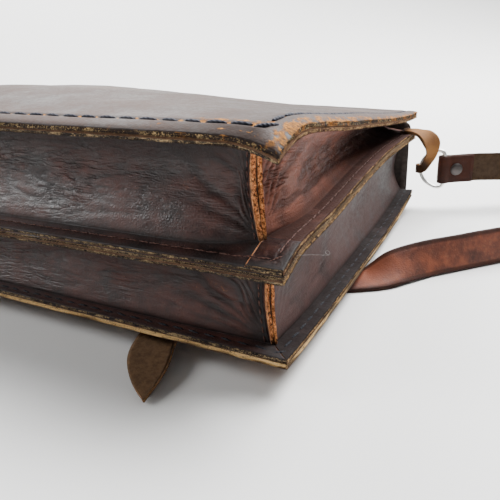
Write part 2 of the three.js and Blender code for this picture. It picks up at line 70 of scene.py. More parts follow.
phone = show("phone_camera", bpy.data.cameras.new("phone_camera"))
phone.data.sensor_width = CAMERA_SENSOR
phone.data.lens = CAMERA_LENS
phone.data.clip_start = 0.01
into_scene = Vector((-math.sin(CAMERA_YAW), math.cos(CAMERA_YAW), 0))
sight = into_scene * math.cos(CAMERA_PITCH) - Vector((0, 0, math.sin(CAMERA_PITCH)))
level = Vector((math.cos(CAMERA_YAW), math.sin(CAMERA_YAW), 0))
upright = level.cross(sight)
rightward = level * math.cos(CAMERA_ROLL) + upright * math.sin(CAMERA_ROLL)
upward = upright * math.cos(CAMERA_ROLL) - level * math.sin(CAMERA_ROLL)
turn = Matrix((rightward, upward, -sight)).transposed().to_4x4()
phone.matrix_world = Matrix.Translation(to_row(CAMERA_AT)) @ turn
bpy.context.scene.camera = phone

# Back panel: one thick hide, dark brown and polished grey by wear, cut square and sewn to the gussets
# along its sides and bottom edge. It swells in the middle. Its right bottom corner droops and its right
# edge is scuffed bare. Painted shade darkens the strip between the seam and the edge beside that corner.
HALF_WIDTH, HEIGHT = 210, 280
PANEL_T, GAP, BACK_GAP = 2.7, 0.35, 0.55
SIDE_EDGE = {
    "y": (0, 10, 20, 35, 60, 90, 130, 180, 220, 250, 280),
    "front": (14, 13, 12.2, 11.2, 10, 9.2, 8.4, 7.4, 7.8, 9.2, 12),
    "middle": (55, 58, 60.6, 61.3, 61.5, 63.3, 65.8, 67, 65.5, 64.1, 62.5),
    "back": (116, 116.1, 116.3, 115.8, 112.3, 107.4, 101.8, 94.8, 89.8, 86.6, 84.6),
    "crown": (4.3, 4, 4.4, 6.8, 12, 17.5, 19, 16, 13.2, 11.4, 9.5),
    "puff": (3, 3, 3, 3, 3, 3, 3, 2.5, 1.8, 1, 0.3),
}
CROWN_SOFTNESS, PUFF_REACH, CORNER_DROOP, CORNER_REACH, LEFT_FULLNESS = 0.15, 14, 6, 26, 9
BACK_SEAM_INSET, BACK_STITCH, SEAM_END, GROOVE = 10, 11.5, HEIGHT - 6, 1.3
FINE_STEP, COARSE_STEP, FINE_BORDER = 0.9, 2.6, 15
EDGE_ROUNDING = ((0.1, 0.12), (0.3, 0.2), (0.5, 0.22), (0.7, 0.2), (0.9, 0.12))


def smooth(knots, values, at):
    """Values at the given places, on a smooth curve through knots with three-point slopes."""
    knots, values, at = (np.asarray(item, dtype=float) for item in (knots, values, at))
    places = np.arange(len(knots))
    low, high = np.maximum(places - 1, 0), np.minimum(places + 1, len(knots) - 1)
    spread = (...,) + (None,) * (values.ndim - 1)
    slopes = (values[high] - values[low]) / (knots[high] - knots[low])[spread]
    i = np.clip(np.searchsorted(knots, at, side="right") - 1, 0, len(knots) - 2)
    span = (knots[i + 1] - knots[i])[spread]
    t = ((at - knots[i]) / (knots[i + 1] - knots[i]))[spread]
    rise, start, end = values[i + 1] - values[i], slopes[i] * span, slopes[i + 1] * span
    return values[i] + t * start + t**2 * (3 * rise - 2 * start - end) + t**3 * (start + end - 2 * rise)


def side_height(column, y):
    y = np.asarray(y, dtype=float)
    return smooth(SIDE_EDGE["y"], SIDE_EDGE[column], y.ravel()).reshape(y.shape)


def back_top(x, y):
    def near(distance, reach):
        return np.maximum(0, 1 - distance / reach) ** 2

    def away(share):
        return np.hypot(share, CROWN_SOFTNESS) - CROWN_SOFTNESS

    from_side = HALF_WIDTH - np.abs(x)
    crown = side_height("crown", y) * (1 - away(x / HALF_WIDTH) / away(1))
    puff = side_height("puff", y) * (1 - near(np.minimum(from_side, y), PUFF_REACH))
    droop = CORNER_DROOP * near(from_side, CORNER_REACH) * near(y, CORNER_REACH)
    return side_height("back", y) + crown + puff - droop


def ease(edge, at):
    """0 below zero, 1 past the edge and a smooth step between."""
    t = np.clip(at / edge, 0, 1)
    return t * t * (3 - 2 * t)


def bell(distance, width):
    """1 at no distance, fading smoothly to 0 past the width."""
    return np.exp(-(distance / width) ** 2)


def unevenness(u, v, seed):
    """Soft random heights from -1 to 1 over a plane, with bumps about one unit apart."""
    cells = 64
    lattice = np.random.default_rng(seed).random((cells, cells)) * 2 - 1
    i, j = np.floor(u).astype(int), np.floor(v).astype(int)
    fu, fv = (f * f * (3 - 2 * f) for f in (u - i, v - j))
    i, next_i, j, next_j = i % cells, (i + 1) % cells, j % cells, (j + 1) % cells
    near = lattice[i, j] * (1 - fu) + lattice[next_i, j] * fu
    far = lattice[i, next_j] * (1 - fu) + lattice[next_i, next_j] * fu
    return near * (1 - fv) + far * fv


def creases(u, v, seed):
    """Heights from 0 to -1 with narrow valleys that wander and branch."""
    wander = unevenness(u * 0.6, v * 0.6, seed + 1)
    fold = np.abs(unevenness(u + 0.7 * wander, v + 0.9 * wander, seed))
    fine = np.abs(unevenness(u * 2.1 + wander, v * 2.3 - wander, seed + 2))
    return -np.exp(-(fold / 0.16) ** 1.3) - 0.45 * np.exp(-(fine / 0.2) ** 1.3)


def steps_from_edges(low, high, fine, coarse, border):
    """Places from low to high, close together within a border at each end and wider apart between."""
    start = np.arange(low, low + border, fine)
    end = high - (start - low)[::-1]
    between = np.linspace(low + border, high - border, int((high - low - 2 * border) / coarse))
    return np.concatenate([start, between, end])


def chord_lengths(points):
    """How far along a run of points, or of rows of points, each one lies."""
    spans = np.linalg.norm(np.diff(points, axis=0), axis=-1)
    return np.concatenate([[0], np.cumsum(spans.reshape(len(spans), -1).mean(1))])


def leather_wall(name, place, above, below, facing=None, relief=0, marks=None, closed=False, flip=False,
                 ragged=0.25):
    """A closed leather wall from a grid of points: grain side, cut edge and flesh side, in metres.

    The wall goes above and below the grid along its normals, or along one facing; flip turns the grain side
    over. The point attribute cut is 1 on the cut edge, flesh 1 on the inner side, rim fades in from the cut
    edge, and crease holds the relief. The marks, such as wear, furrow and the darkening mark for grime and
    painted shade, become attributes too.
    """
    rows, columns = place.shape[:2]

    def spread(values):
        values = np.broadcast_to(np.asarray(values, dtype=float), (rows, columns))
        return values[::-1] if flip else values

    relief, above, below = (spread(values) for values in (relief, above, below))
    place = place[::-1] if flip else place
    wrapped = np.concatenate([place[-2:-1], place, place[1:2]]) if closed else place
    along = np.gradient(wrapped, axis=0)[1:-1] if closed else np.gradient(place, axis=0)
    normal = np.cross(along, np.gradient(place, axis=1))
    normal /= np.linalg.norm(normal, axis=2, keepdims=True)
    if facing is not None:
        normal = np.broadcast_to(np.asarray(facing, dtype=float), place.shape)
    ids = np.arange(rows * columns).reshape(rows, columns)
    if closed:
        ids[-1] = ids[0]
        loops = [ids[:-1, 0], ids[:-1, -1][::-1]]
    else:
        loops = [np.concatenate([ids[0, :-1], ids[:-1, -1], ids[-1, :0:-1], ids[:0:-1, 0]])]
    lay, run = chord_lengths(place.swapaxes(0, 1)), chord_lengths(place)
    from_edge = np.minimum(lay, lay[-1] - lay)[None, :].repeat(rows, axis=0)
    if not closed:
        from_edge = np.minimum(from_edge, np.minimum(run, run[-1] - run)[:, None])
    flat = {"cut": np.zeros(rows * columns), "flesh": np.zeros(rows * columns),
            "rim": np.exp(-from_edge / 2.2).ravel(), "crease": np.array(relief).ravel()}
    flat |= {mark: spread(values).ravel() for mark, values in (marks or {}).items()}
    spots = np.stack(np.broadcast_arrays(run[:, None], lay[None, :]), axis=2).reshape(-1, 2)
    pressed = 0 if facing is not None else relief
    grain_side = (place + normal * (relief + above)[..., None]).reshape(-1, 3)
    flesh_side = (place + normal * (pressed - below)[..., None]).reshape(-1, 3)
    points = [grain_side, flesh_side]
    values = {mark: [flat[mark], flat[mark]] for mark in flat}
    values["flesh"][1] = np.ones(rows * columns)
    layouts = [spots, spots]
    quads = np.stack([ids[:-1, :-1], ids[1:, :-1], ids[1:, 1:], ids[:-1, 1:]], axis=2).reshape(-1, 4)
    faces = [quads, quads[:, ::-1] + rows * columns]
    inward = np.zeros_like(place)
    inward[:, 0] += place[:, 1] - place[:, 0]
    inward[:, -1] += place[:, -2] - place[:, -1]
    if not closed:
        inward[0] += place[1] - place[0]
        inward[-1] += place[-2] - place[-1]
    inward = inward.reshape(-1, 3)
    start = 2 * rows * columns
    for loop in loops:
        outward = -inward[loop] / np.maximum(np.linalg.norm(inward[loop], axis=1, keepdims=True), 1e-9)
        round_trip = chord_lengths(grain_side[loop])
        torn = 1 + 1.5 * flat["wear"][loop] if "wear" in flat else 1
        through = flesh_side[loop] - grain_side[loop]
        rings = [loop]
        for share, push in EDGE_ROUNDING:
            fine_fray = unevenness(round_trip / 1.7, np.full(len(loop), share * 9), len(name))
            broad_fray = unevenness(round_trip / 9, np.full(len(loop), share), len(name) + 7)
            push_out = push + ragged * torn * (fine_fray + 1.2 * broad_fray) - 1.6 * ragged
            points.append(grain_side[loop] + share * through + outward * push_out[:, None])
            for mark in values:
                values[mark].append(np.ones(len(loop)) if mark in ("cut", "rim") else flat[mark][loop])
            layouts.append(np.stack([round_trip, share * np.linalg.norm(through, axis=1)], axis=1))
            rings.append(start + np.arange(len(loop)))
            start += len(loop)
        rings.append(loop + rows * columns)
        following = np.r_[1:len(loop), 0]
        for near, far in zip(rings, rings[1:]):
            faces.append(np.stack([near, near[following], far[following], far], axis=1))
    points, faces = np.concatenate(points), np.concatenate(faces)
    corners = points[faces]
    volume = np.einsum("ij,ij->", corners[:, 0], np.cross(corners[:, 1], corners[:, 2]) +
                       np.cross(corners[:, 2], corners[:, 3]))
    if volume < 0:
        faces = faces[:, ::-1]
    mesh = bpy.data.meshes.new(name)
    mesh.from_pydata(to_row(points).tolist(), [], faces.tolist())
    for mark, parts in values.items():
        mesh.attributes.new(mark, "FLOAT", "POINT").data.foreach_set("value", np.concatenate(parts))
    lay_map = mesh.uv_layers.new(name="lay")
    order = np.empty(len(mesh.loops), dtype=np.int32)
    mesh.loops.foreach_get("vertex_index", order)
    lay_map.data.foreach_set("uv", (np.concatenate(layouts)[order] * MM).ravel())
    shape = bmesh.new()
    shape.from_mesh(mesh)
    bmesh.ops.delete(shape, geom=[v for v in shape.verts if not v.link_faces], context="VERTS")
    shape.to_mesh(mesh)
    shape.free()
    mesh.shade_smooth()
    return show(name, mesh)


class Shade:
    """A socket of a tree of nodes. Operators on it add Math nodes, and node adds any other."""

    def __init__(self, tree, socket=None):
        self.tree, self.socket = tree, socket

    def node(self, kind, settings, sockets, output=0):
        made = self.tree.nodes.new(kind)
        for name, value in settings.items():
            if name == "stops":
                while len(made.color_ramp.elements) < len(value):
                    made.color_ramp.elements.new(0.5)
                for element, (position, colour) in zip(made.color_ramp.elements, value):
                    element.position, element.color = position, colour
            else:
                setattr(made, name, value)
        for name, value in sockets.items():
            if isinstance(value, Shade):
                self.tree.links.new(value.socket, made.inputs[name])
            else:
                made.inputs[name].default_value = value
        return Shade(self.tree, made.outputs[output] if made.outputs else None)

    def place(self):
        return self.node("ShaderNodeTexCoord", {}, {}, "Object")

    def noise(self, vector, scale, detail, roughness=0.5):
        return self.node("ShaderNodeTexNoise", {}, {"Vector": vector, "Scale": scale, "Detail": detail,
                                                    "Roughness": roughness}, "Fac")

    def mix(self, share, first, second):
        return self.node("ShaderNodeMix", {"data_type": "RGBA"}, {0: share, 6: first, 7: second}, 2)

    def surface(self, sockets):
        """Ends the material's nodes with one principled surface."""
        self.node("ShaderNodeOutputMaterial", {},
                  {"Surface": self.node("ShaderNodeBsdfPrincipled", {}, sockets)})

    def math(self, operation, first, second):
        return self.node("ShaderNodeMath", {"operation": operation}, {0: first, 1: second})

    def __add__(self, other):
        return self.math("ADD", self, other)

    def __sub__(self, other):
        return self.math("SUBTRACT", self, other)

    def __rsub__(self, other):
        return self.math("SUBTRACT", other, self)

    def __mul__(self, other):
        return self.math("MULTIPLY", self, other)

    __radd__, __rmul__ = __add__, __mul__


def new_material(name):
    """A bare material and the start of its nodes."""
    material = bpy.data.materials.new(name)
    material.use_nodes = True
    material.node_tree.nodes.clear()
    return material, Shade(material.node_tree)


def shaded(colour, share=1.0):
    """A colour with its three parts scaled, all alike or each by its own share, and a full alpha."""
    return tuple(float(part) for part in np.array(colour[:3]) * share) + (1.0,)


def leather(name, dark, warm, scuffed, raw, flesh, polish=0.4, grain=0.5, edge_dye=0.0, sheen=0.5, crumb=0.4,
            bare=(1, 1, 1)):
    """Dyed leather: mottled grain, pale ridges, suede where worn bare, fibrous cut edges, matt flesh side.

    polish is the roughness of clean grain, grain the strength of its bump and sheen its specular level.
    edge_dye darkens the cut edge, crumb breaks it up, and bare tints the suede.
    """
    material, start = new_material(name)
    place = start.place()
    lay = start.node("ShaderNodeUVMap", {"uv_map": "lay"}, {})
    dark, warm, scuffed, raw, flesh = (shaded(colour) for colour in (dark, warm, scuffed, raw, flesh))

    def mark(attribute):
        return start.node("ShaderNodeAttribute", {"attribute_name": attribute}, {}, "Fac")

    def mottle(scale, detail=4.0, roughness=0.55, vector=place):
        return start.noise(vector, scale, detail, roughness)

    def laid(stretch):
        return start.node("ShaderNodeMapping", {}, {"Vector": lay, "Scale": stretch})

    def between(value, low, high):
        return start.node("ShaderNodeMapRange", {"interpolation_type": "SMOOTHSTEP"},
                          {"Value": value, "From Min": low, "From Max": high})

    cut, inner, rim, crease, wear, furrow, grime = (mark(item) for item in (
        "cut", "flesh", "rim", "crease", "wear", "furrow", "grime"))
    clouds, patches, specks = mottle(16.0), mottle(60.0, 5.0, 0.6), mottle(420.0, 3.0, 0.6)
    fluff = mottle(800.0, 4.0, 0.7)
    nap_stops = ((0.38, shaded((0.03, 0.01, 0.005))), (0.49, shaded((0.3, 0.092, 0.018), bare)),
                 (0.62, shaded((0.56, 0.222, 0.046), bare)))
    suede = start.node("ShaderNodeValToRGB", {"stops": nap_stops}, {"Fac": fluff}, "Color")
    tone = between(clouds * 0.5 + patches * 0.5, 0.38, 0.62)
    colour = start.mix(tone, dark, warm)
    colour = start.mix(between(specks, 0.5, 0.75) * 0.22, colour, scuffed)
    # painted shade: hollows of the relief (negative crease) are darkened
    colour = start.mix(between(crease * -1.0, 0.05, 0.55) * 0.7, colour, shaded(dark, 0.45))
    colour = start.mix(between(crease, 0.05, 0.6) * 0.35, colour, scuffed)
    furrows = 1.0
    for stretch in ((19.0, 120.0, 1.0), (48.0, 250.0, 1.0)):
        waves = start.math("ABSOLUTE", mottle(1.0, 3.0, 0.6, laid(stretch)) - 0.5, 0.0)
        furrows = furrows * between(waves, 0.0, 0.07)
    sunk = (1.0 - furrows) * furrow * between(mottle(26.0, 2.0, 0.5), 0.34, 0.6)
    # painted shade: the sunk furrows of the wrinkles are darkened as well as lowered
    colour = start.mix(sunk * 0.4, colour, shaded(dark, 0.5))
    # this mark darkens the colour: real dirt and dye on some pieces, painted shade on others
    colour = start.mix(grime * between(patches, 0.05, 0.5), colour, shaded(dark, 0.25))
    bared = between(patches * 0.5 + specks * 0.35 + wear * 0.8 + rim * 0.08, 0.66, 0.92)
    colour = start.mix(bared, colour, start.mix(0.15, suede, raw))
    layers = mottle(1.0, 5.0, 0.7, laid((260.0, 2600.0, 1.0)))
    crumbs = layers * (1 - crumb) + mottle(1200.0, 4.0, 0.7) * crumb
    stain = mottle(34.0, 3.0, 0.6) * 0.15 + mottle(150.0, 4.0, 0.6) * 0.3
    dyed = between(stain + crumbs * 0.85 + edge_dye, 0.6, 0.74)
    edge = start.mix(between(layers, 0.35, 0.65), raw, shaded(raw, (0.55, 0.62, 0.66)))
    edge = start.mix(dyed, edge, shaded(dark, 0.5))
    edge = start.mix(between(wear + fluff * 0.3, 0.55, 0.95), edge, suede)
    colour = start.mix(cut, colour, edge)
    nap = start.mix(between(mottle(300.0, 4.0, 0.7), 0.3, 0.7), flesh, shaded(flesh, 0.55))
    colour = start.mix(inner * (1.0 - cut), colour, nap)
    rough = polish + 0.14 * tone + 0.12 * between(specks, 0.4, 0.7) + 0.35 * bared
    rough = rough + 0.45 * cut + 0.35 * inner + 0.35 * grime
    pores = start.node("ShaderNodeTexVoronoi", {"feature": "DISTANCE_TO_EDGE"},
                       {"Vector": place, "Scale": 620.0}, "Distance")
    furry = start.math("MAXIMUM", cut, bared)
    height = (pores * 0.5 + patches * 0.6 - sunk * 2.0) * (1.0 - furry) + (layers * 0.6 + fluff * 1.1) * furry
    bump = start.node("ShaderNodeBump", {}, {"Strength": grain, "Distance": 0.0007, "Height": height})
    start.surface({"Base Color": colour, "Roughness": rough, "Normal": bump, "Specular IOR Level": sheen})
    return material


def finish_piece(piece, material, slot, *nodes):
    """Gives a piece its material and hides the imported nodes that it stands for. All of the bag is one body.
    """
    piece.data.materials.clear()
    piece.data.materials.append(material)
    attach(piece, "root")
    if nodes:
        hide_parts(*nodes)


across, up_bag = np.meshgrid(steps_from_edges(-HALF_WIDTH, HALF_WIDTH, FINE_STEP, COARSE_STEP, FINE_BORDER),
                             steps_from_edges(0, HEIGHT, FINE_STEP, COARSE_STEP, FINE_BORDER))
from_side, right_half = HALF_WIDTH - np.abs(across), across > 0
from_seam_edge = np.minimum(from_side, up_bag)
back_seam_down, back_seam_across = SEAM_END - BACK_SEAM_INSET, 2 * (HALF_WIDTH - BACK_SEAM_INSET)
back_seam_length = 2 * back_seam_down + back_seam_across
back_pitch = back_seam_length / round(back_seam_length / BACK_STITCH)
seam_run = np.where(up_bag < from_side, back_seam_down + across + back_seam_across / 2, np.where(
    across < 0, SEAM_END - up_bag, back_seam_down + back_seam_across + up_bag - BACK_SEAM_INSET))
seam_line = bell(from_seam_edge - BACK_SEAM_INSET, GROOVE)
needle_holes = seam_line * np.clip(-2 * np.cos(2 * math.pi * seam_run / back_pitch) - 1, 0, 1)
soft_dents = 0.3 * unevenness(across / 48, up_bag / 48, 3) + 0.15 * unevenness(across / 11, up_bag / 11, 4)
soft_dents *= np.clip(from_seam_edge / 20, 0, 1)
flecks = unevenness(across / 1.3, up_bag / 1.3, 10)
# painted shade: darkens the strip between the seam and the edge beside the right bottom corner, where the
# edge rolls away from the window light
corner_strip_shade = bell(from_side, 46) * bell(up_bag - 5, 6) * ease(9, from_side - 4) * right_half
corner_scuff = bell(from_side, 26) * bell(up_bag, 30) * right_half * (1 - 0.8 * corner_strip_shade)
corner_scuff *= 0.2 + 0.34 * unevenness(across / 3.4, up_bag / 3.4, 9) + 0.24 * flecks
worn_tip = (0.27 + 0.22 * flecks) * bell(from_side, 7) * bell(up_bag, 7)
side_scuff = 0.44 + 0.22 * unevenness(across / 2.5, up_bag / 6, 8) + 0.3 * flecks
side_scuff *= np.clip((10 - from_side - up_bag / 60) / 6, 0, 1)
bottom_scuff = 0.12 * bell(up_bag, 2)
thread_rub = (0.46 + 0.34 * flecks) * bell(from_side - 26, 24) * bell(up_bag - 13.5, 4) * right_half
strip_flecks = 0.75 * np.clip(flecks - 0.1, 0, 1) * right_half
strip_flecks *= bell(from_side, 110) * np.exp(-(up_bag / 7) ** 4)
back_wear = np.maximum.reduce([corner_scuff, worn_tip, side_scuff, bottom_scuff, strip_flecks, thread_rub])
BACK_HIDE = leather(
    "back_hide", dark=(0.033, 0.0195, 0.015), warm=(0.057, 0.032, 0.0245), scuffed=(0.18, 0.115, 0.085),
    raw=(0.43, 0.28, 0.125), flesh=(0.2, 0.11, 0.06), polish=0.5, edge_dye=0.1, sheen=0.22, crumb=0.9,
    bare=(0.8, 0.82, 0.5))
leftward = np.sin(math.pi * np.clip(-across / HALF_WIDTH, 0, 1)) ** 2
back_heights = back_top(across, up_bag) + LEFT_FULLNESS * np.sin(math.pi * up_bag / HEIGHT) * leftward
back = leather_wall("back_panel_hide", np.stack([across, up_bag, back_heights], axis=2), 0, PANEL_T,
                    facing=(0, 0, 1), relief=soft_dents - 0.7 * seam_line - 0.6 * bell(from_seam_edge, 1.6),
                    marks={"wear": np.clip(back_wear + 0.9 * needle_holes, 0, 1),
                           "grime": 0.8 * corner_strip_shade}, ragged=0.35)
finish_piece(back, BACK_HIDE, "back_leather", "back_panel")

# Divider and front panel: two hides inside the gusset seams. The divider is thinner and parts the bag's
# two compartments, and the front panel is underneath. Only their frayed cut edges show from outside.
DIVIDER_T, GUSSET_T = 2.0, 1.8
HIDDEN_FINE, HIDDEN_COARSE, HIDDEN_BORDER = 1.1, 9, 5


def divider_low(y):
    return side_height("middle", y) + GUSSET_T + GAP


GUSSET_HIDE = leather(
    "gusset_hide", dark=(0.012, 0.0055, 0.0052), warm=(0.066, 0.0175, 0.0115), scuffed=(0.15, 0.066, 0.047),
    raw=(0.4, 0.265, 0.13), flesh=(0.19, 0.1, 0.055), polish=0.34, grain=0.58, edge_dye=0.06, sheen=0.46,
    bare=(1.65, 1.8, 3.2))
FRONT_HIDE = leather(
    "front_hide", dark=(0.02, 0.012, 0.01), warm=(0.06, 0.03, 0.022), scuffed=(0.15, 0.09, 0.07),
    raw=(0.74, 0.45, 0.18), flesh=(0.19, 0.1, 0.055), edge_dye=-0.045, crumb=0.6)
hidden_across, hidden_up = np.meshgrid(
    steps_from_edges(-HALF_WIDTH, HALF_WIDTH, HIDDEN_FINE, HIDDEN_COARSE, HIDDEN_BORDER),
    steps_from_edges(0, HEIGHT, HIDDEN_FINE, HIDDEN_COARSE, HIDDEN_BORDER))
for name, low, thickness, hide_kind, node, slot in (
        ("divider_hide", divider_low(hidden_up), DIVIDER_T, GUSSET_HIDE, "divider_panel", "gusset_leather"),
        ("front_panel_hide", side_height("front", hidden_up), PANEL_T, FRONT_HIDE,
         "front_panel", "back_leather")):
    hide = leather_wall(name, np.stack([hidden_across, hidden_up, low], axis=2), thickness, 0,
                        facing=(0, 0, 1), ragged=0.7)
    finish_piece(hide, hide_kind, slot, node)

# Gussets: six strips that make the bag's bottom and sides, bowed inwards between flanges that are sewn to
# the panels. At each bottom corner two strips end in raw ears, pressed together on the corner's diagonal.
# They are wrinkled along the bag and pleated at the corners. Painted shade darkens their folds, the side
# strips' flanges and far ends, the wall tops under the overhang and the bottom strips beside the corners, and
# the upper side strips have a brighter, redder copy of the leather as painted light.
HANDS = (("left", -1), ("right", 1))
FLANGE, EAR, EAR_FULLNESS, EAR_GAP, MITRE_GAP, CORNER_BLEND = 11, 6, 0.35, 0.3, 0.25, 60
MITRE_X, MITRE_Y, EAR_START, WALL_WIDTH, FLANGE_SEAM = 30, 42, 0.8, 55, 5.8
UPPER_BOW = {"corner_flange": 18, "corner": 5, "bottom": 12, "mouth": 20,
             "bottom_tip": 0.58, "side_tip": 0.45}
LOWER_BOW = {"corner_flange": 12, "corner": 4, "bottom": 6, "mouth": 7,
             "bottom_tip": 0.55, "side_tip": 0.45}
FLANGE_SHARES = np.linspace(0, 1, 9)
WALL_SHARES = np.linspace(0, 1, 60)[1:-1]


def gusset_grid(stations, from_corner, reach, base, bow, tip, plan, low, high):
    """Points of a strip, one row for each station: lower flange, bowed wall, upper flange.

    base is the flange's depth, bow the wall's depth behind it and tip how far up the wall is deepest.
    plan turns stations, their distance in from the corner's diagonal and their depth behind the bag's
    edge into x and y. low and high give the heights of the flanges there.
    """
    flat = np.clip(from_corner, 0, None)
    wall = np.clip((from_corner - EAR_START) / (reach - EAR_START), 0, None) * reach
    ear = np.clip((EAR_START - from_corner) / EAR_START, 0, 1) * EAR
    flange = [plan(stations, flat, share * base + MITRE_GAP, share * base) for share in FLANGE_SHARES]
    lines = [np.stack([x, y, low(x, y)], axis=1) for x, y in flange]
    root_x, root_y = plan(stations, wall, base + MITRE_GAP, base)
    bottom, top = low(root_x, root_y), high(root_x, root_y)
    for share in WALL_SHARES:
        full = math.sin(math.pi * share) ** EAR_FULLNESS
        offset = base + bow * np.sin(math.pi * share ** (math.log(0.5) / np.log(tip)))
        seam = MITRE_GAP + math.sqrt(0.5) * (GUSSET_T + EAR_GAP) * full
        x, y = plan(stations, wall, offset + seam, offset)
        out = ear * full * math.sqrt(0.5)
        lines.append(np.stack([x + np.sign(x) * out, y - out, bottom + share * (top - bottom)], axis=1))
    lines += [np.stack([x, y, high(x, y)], axis=1) for x, y in flange[::-1]]
    return np.stack(lines, axis=1)


def bottom_plan(stations, from_corner, mitre, offset):
    squeezed = HALF_WIDTH - MITRE_X + (MITRE_X - from_corner) / MITRE_X * (MITRE_X - mitre)
    return np.where(from_corner < MITRE_X, np.sign(stations) * squeezed, stations), offset


def side_plan(sign):
    def plan(stations, from_corner, mitre, offset):
        squeezed = MITRE_Y - (MITRE_Y - from_corner) / MITRE_Y * (MITRE_Y - mitre)
        return sign * (HALF_WIDTH - offset), np.where(from_corner < MITRE_Y, squeezed, stations)
    return plan


def upper_low(x, y):
    return divider_low(y) + DIVIDER_T + GAP + GUSSET_T / 2


def upper_high(x, y):
    return back_top(x, y) - PANEL_T - BACK_GAP - GUSSET_T / 2


def lower_low(x, y):
    return side_height("front", y) + PANEL_T + GAP + GUSSET_T / 2


def lower_high(x, y):
    return side_height("middle", y) + GUSSET_T / 2


def keep_clear_of_diagonal(piece, sign, kept):
    """Presses the strip's points back to their own side of a bottom corner's upright diagonal."""
    normal = np.array([kept * sign, kept, 0]) * math.sqrt(0.5)
    corner = to_row((sign * HALF_WIDTH, 0, 0))
    points = np.empty(len(piece.data.vertices) * 3)
    piece.data.vertices.foreach_get("co", points)
    points = points.reshape(-1, 3)
    depth = (points - corner) @ normal - EAR_GAP / 2 * MM
    points -= np.minimum(depth, 0)[:, None] * normal
    piece.data.vertices.foreach_set("co", points.ravel())


def stations_from_corner(fine_from, reach, fine_steps, coarse_from, end, coarse_steps):
    """Places along a strip from its corner: eight in the ear, then fine steps, then coarse ones."""
    return np.concatenate([np.linspace(0, EAR_START, 8), np.linspace(fine_from, reach, fine_steps),
                           np.linspace(coarse_from, end, coarse_steps)])


half_stations = stations_from_corner(1.2, MITRE_X, 26, 31.2, HALF_WIDTH, 150)
bottom_stations = np.concatenate([half_stations - HALF_WIDTH, HALF_WIDTH - half_stations[-2::-1]])
side_stations = stations_from_corner(1.4, MITRE_Y, 36, 43.3, HEIGHT, 180)
flat_lines, flange_lines = np.zeros(len(FLANGE_SHARES)), FLANGE * FLANGE_SHARES
section = np.concatenate([flat_lines, np.sin(math.pi * WALL_SHARES), flat_lines])[None, :]
lane = np.concatenate([flange_lines, FLANGE + WALL_WIDTH * WALL_SHARES, FLANGE + WALL_WIDTH + flange_lines])
flange_depth = np.concatenate([flange_lines, np.full(len(WALL_SHARES), 99.0), flange_lines[::-1]])
from_fold = np.concatenate([flange_lines[::-1], WALL_WIDTH * np.minimum(WALL_SHARES, 1 - WALL_SHARES),
                            flange_lines])
seam_groove = -0.35 * bell(flange_depth - FLANGE_SEAM, GROOVE)[None, :]
# the flanges' dark dyed cut edges, and painted shade along the fold where flange meets wall
dyed_edges_and_fold_shade = np.maximum(0.7 * bell(flange_depth, 3.6), 0.8 * bell(from_fold, 2.4))
# adds painted shade over the whole flange of the side strips
dyed_edges_and_flange_shade = np.maximum(dyed_edges_and_fold_shade, 0.95 * (flange_depth < FLANGE + 1))
# painted shadow on the top of each wall, under the overhanging panel or divider edge
overhang_shadow = np.concatenate([flat_lines, 0.95 * bell(1 - WALL_SHARES, 0.38), flat_lines])
# painted light: the upper side strips take a brighter, redder copy of the gusset leather for the light
# falling on the bag's right side
UPPER_SIDE_LIT_HIDE = leather(
    "upper_side_lit_hide", dark=(0.115, 0.043, 0.031), warm=(0.28, 0.098, 0.062), scuffed=(0.34, 0.17, 0.115),
    raw=(0.42, 0.25, 0.11), flesh=(0.19, 0.1, 0.055), grain=0.85, edge_dye=0.03, sheen=0.17,
    bare=(1.65, 1.8, 3.2))
LOWER_SIDE_HIDE = leather(
    "lower_side_hide", dark=(0.026, 0.0135, 0.0125), warm=(0.066, 0.031, 0.027), scuffed=(0.15, 0.087, 0.073),
    raw=(0.46, 0.26, 0.1), flesh=(0.19, 0.1, 0.055), polish=0.42, edge_dye=0.03, sheen=0.26,
    bare=(1.6, 1.75, 3.1))


def fanned_pleats(from_corner, lanes, reach, seed):
    """Pleats that spread from the foot of a corner seam, deepest a little way out from it."""
    out, up = np.broadcast_arrays(from_corner, lanes - FLANGE)
    away = np.hypot(out, up)
    turn = np.arctan2(up, out + 3)
    ripples = np.sin(turn * 36 + 4 * unevenness(away / 24, turn * 4, seed + 5))
    pleats = 0.5 * creases(away / 34, turn * 6, seed) + 0.4 * ripples
    return pleats * np.clip((away - 9) / 14, 0, 1) * bell(out, reach)


def at_ear(from_corner, width):
    return bell(from_corner, width) * section ** 0.3


def blend(first, second, share):
    return first + (second - first) * share


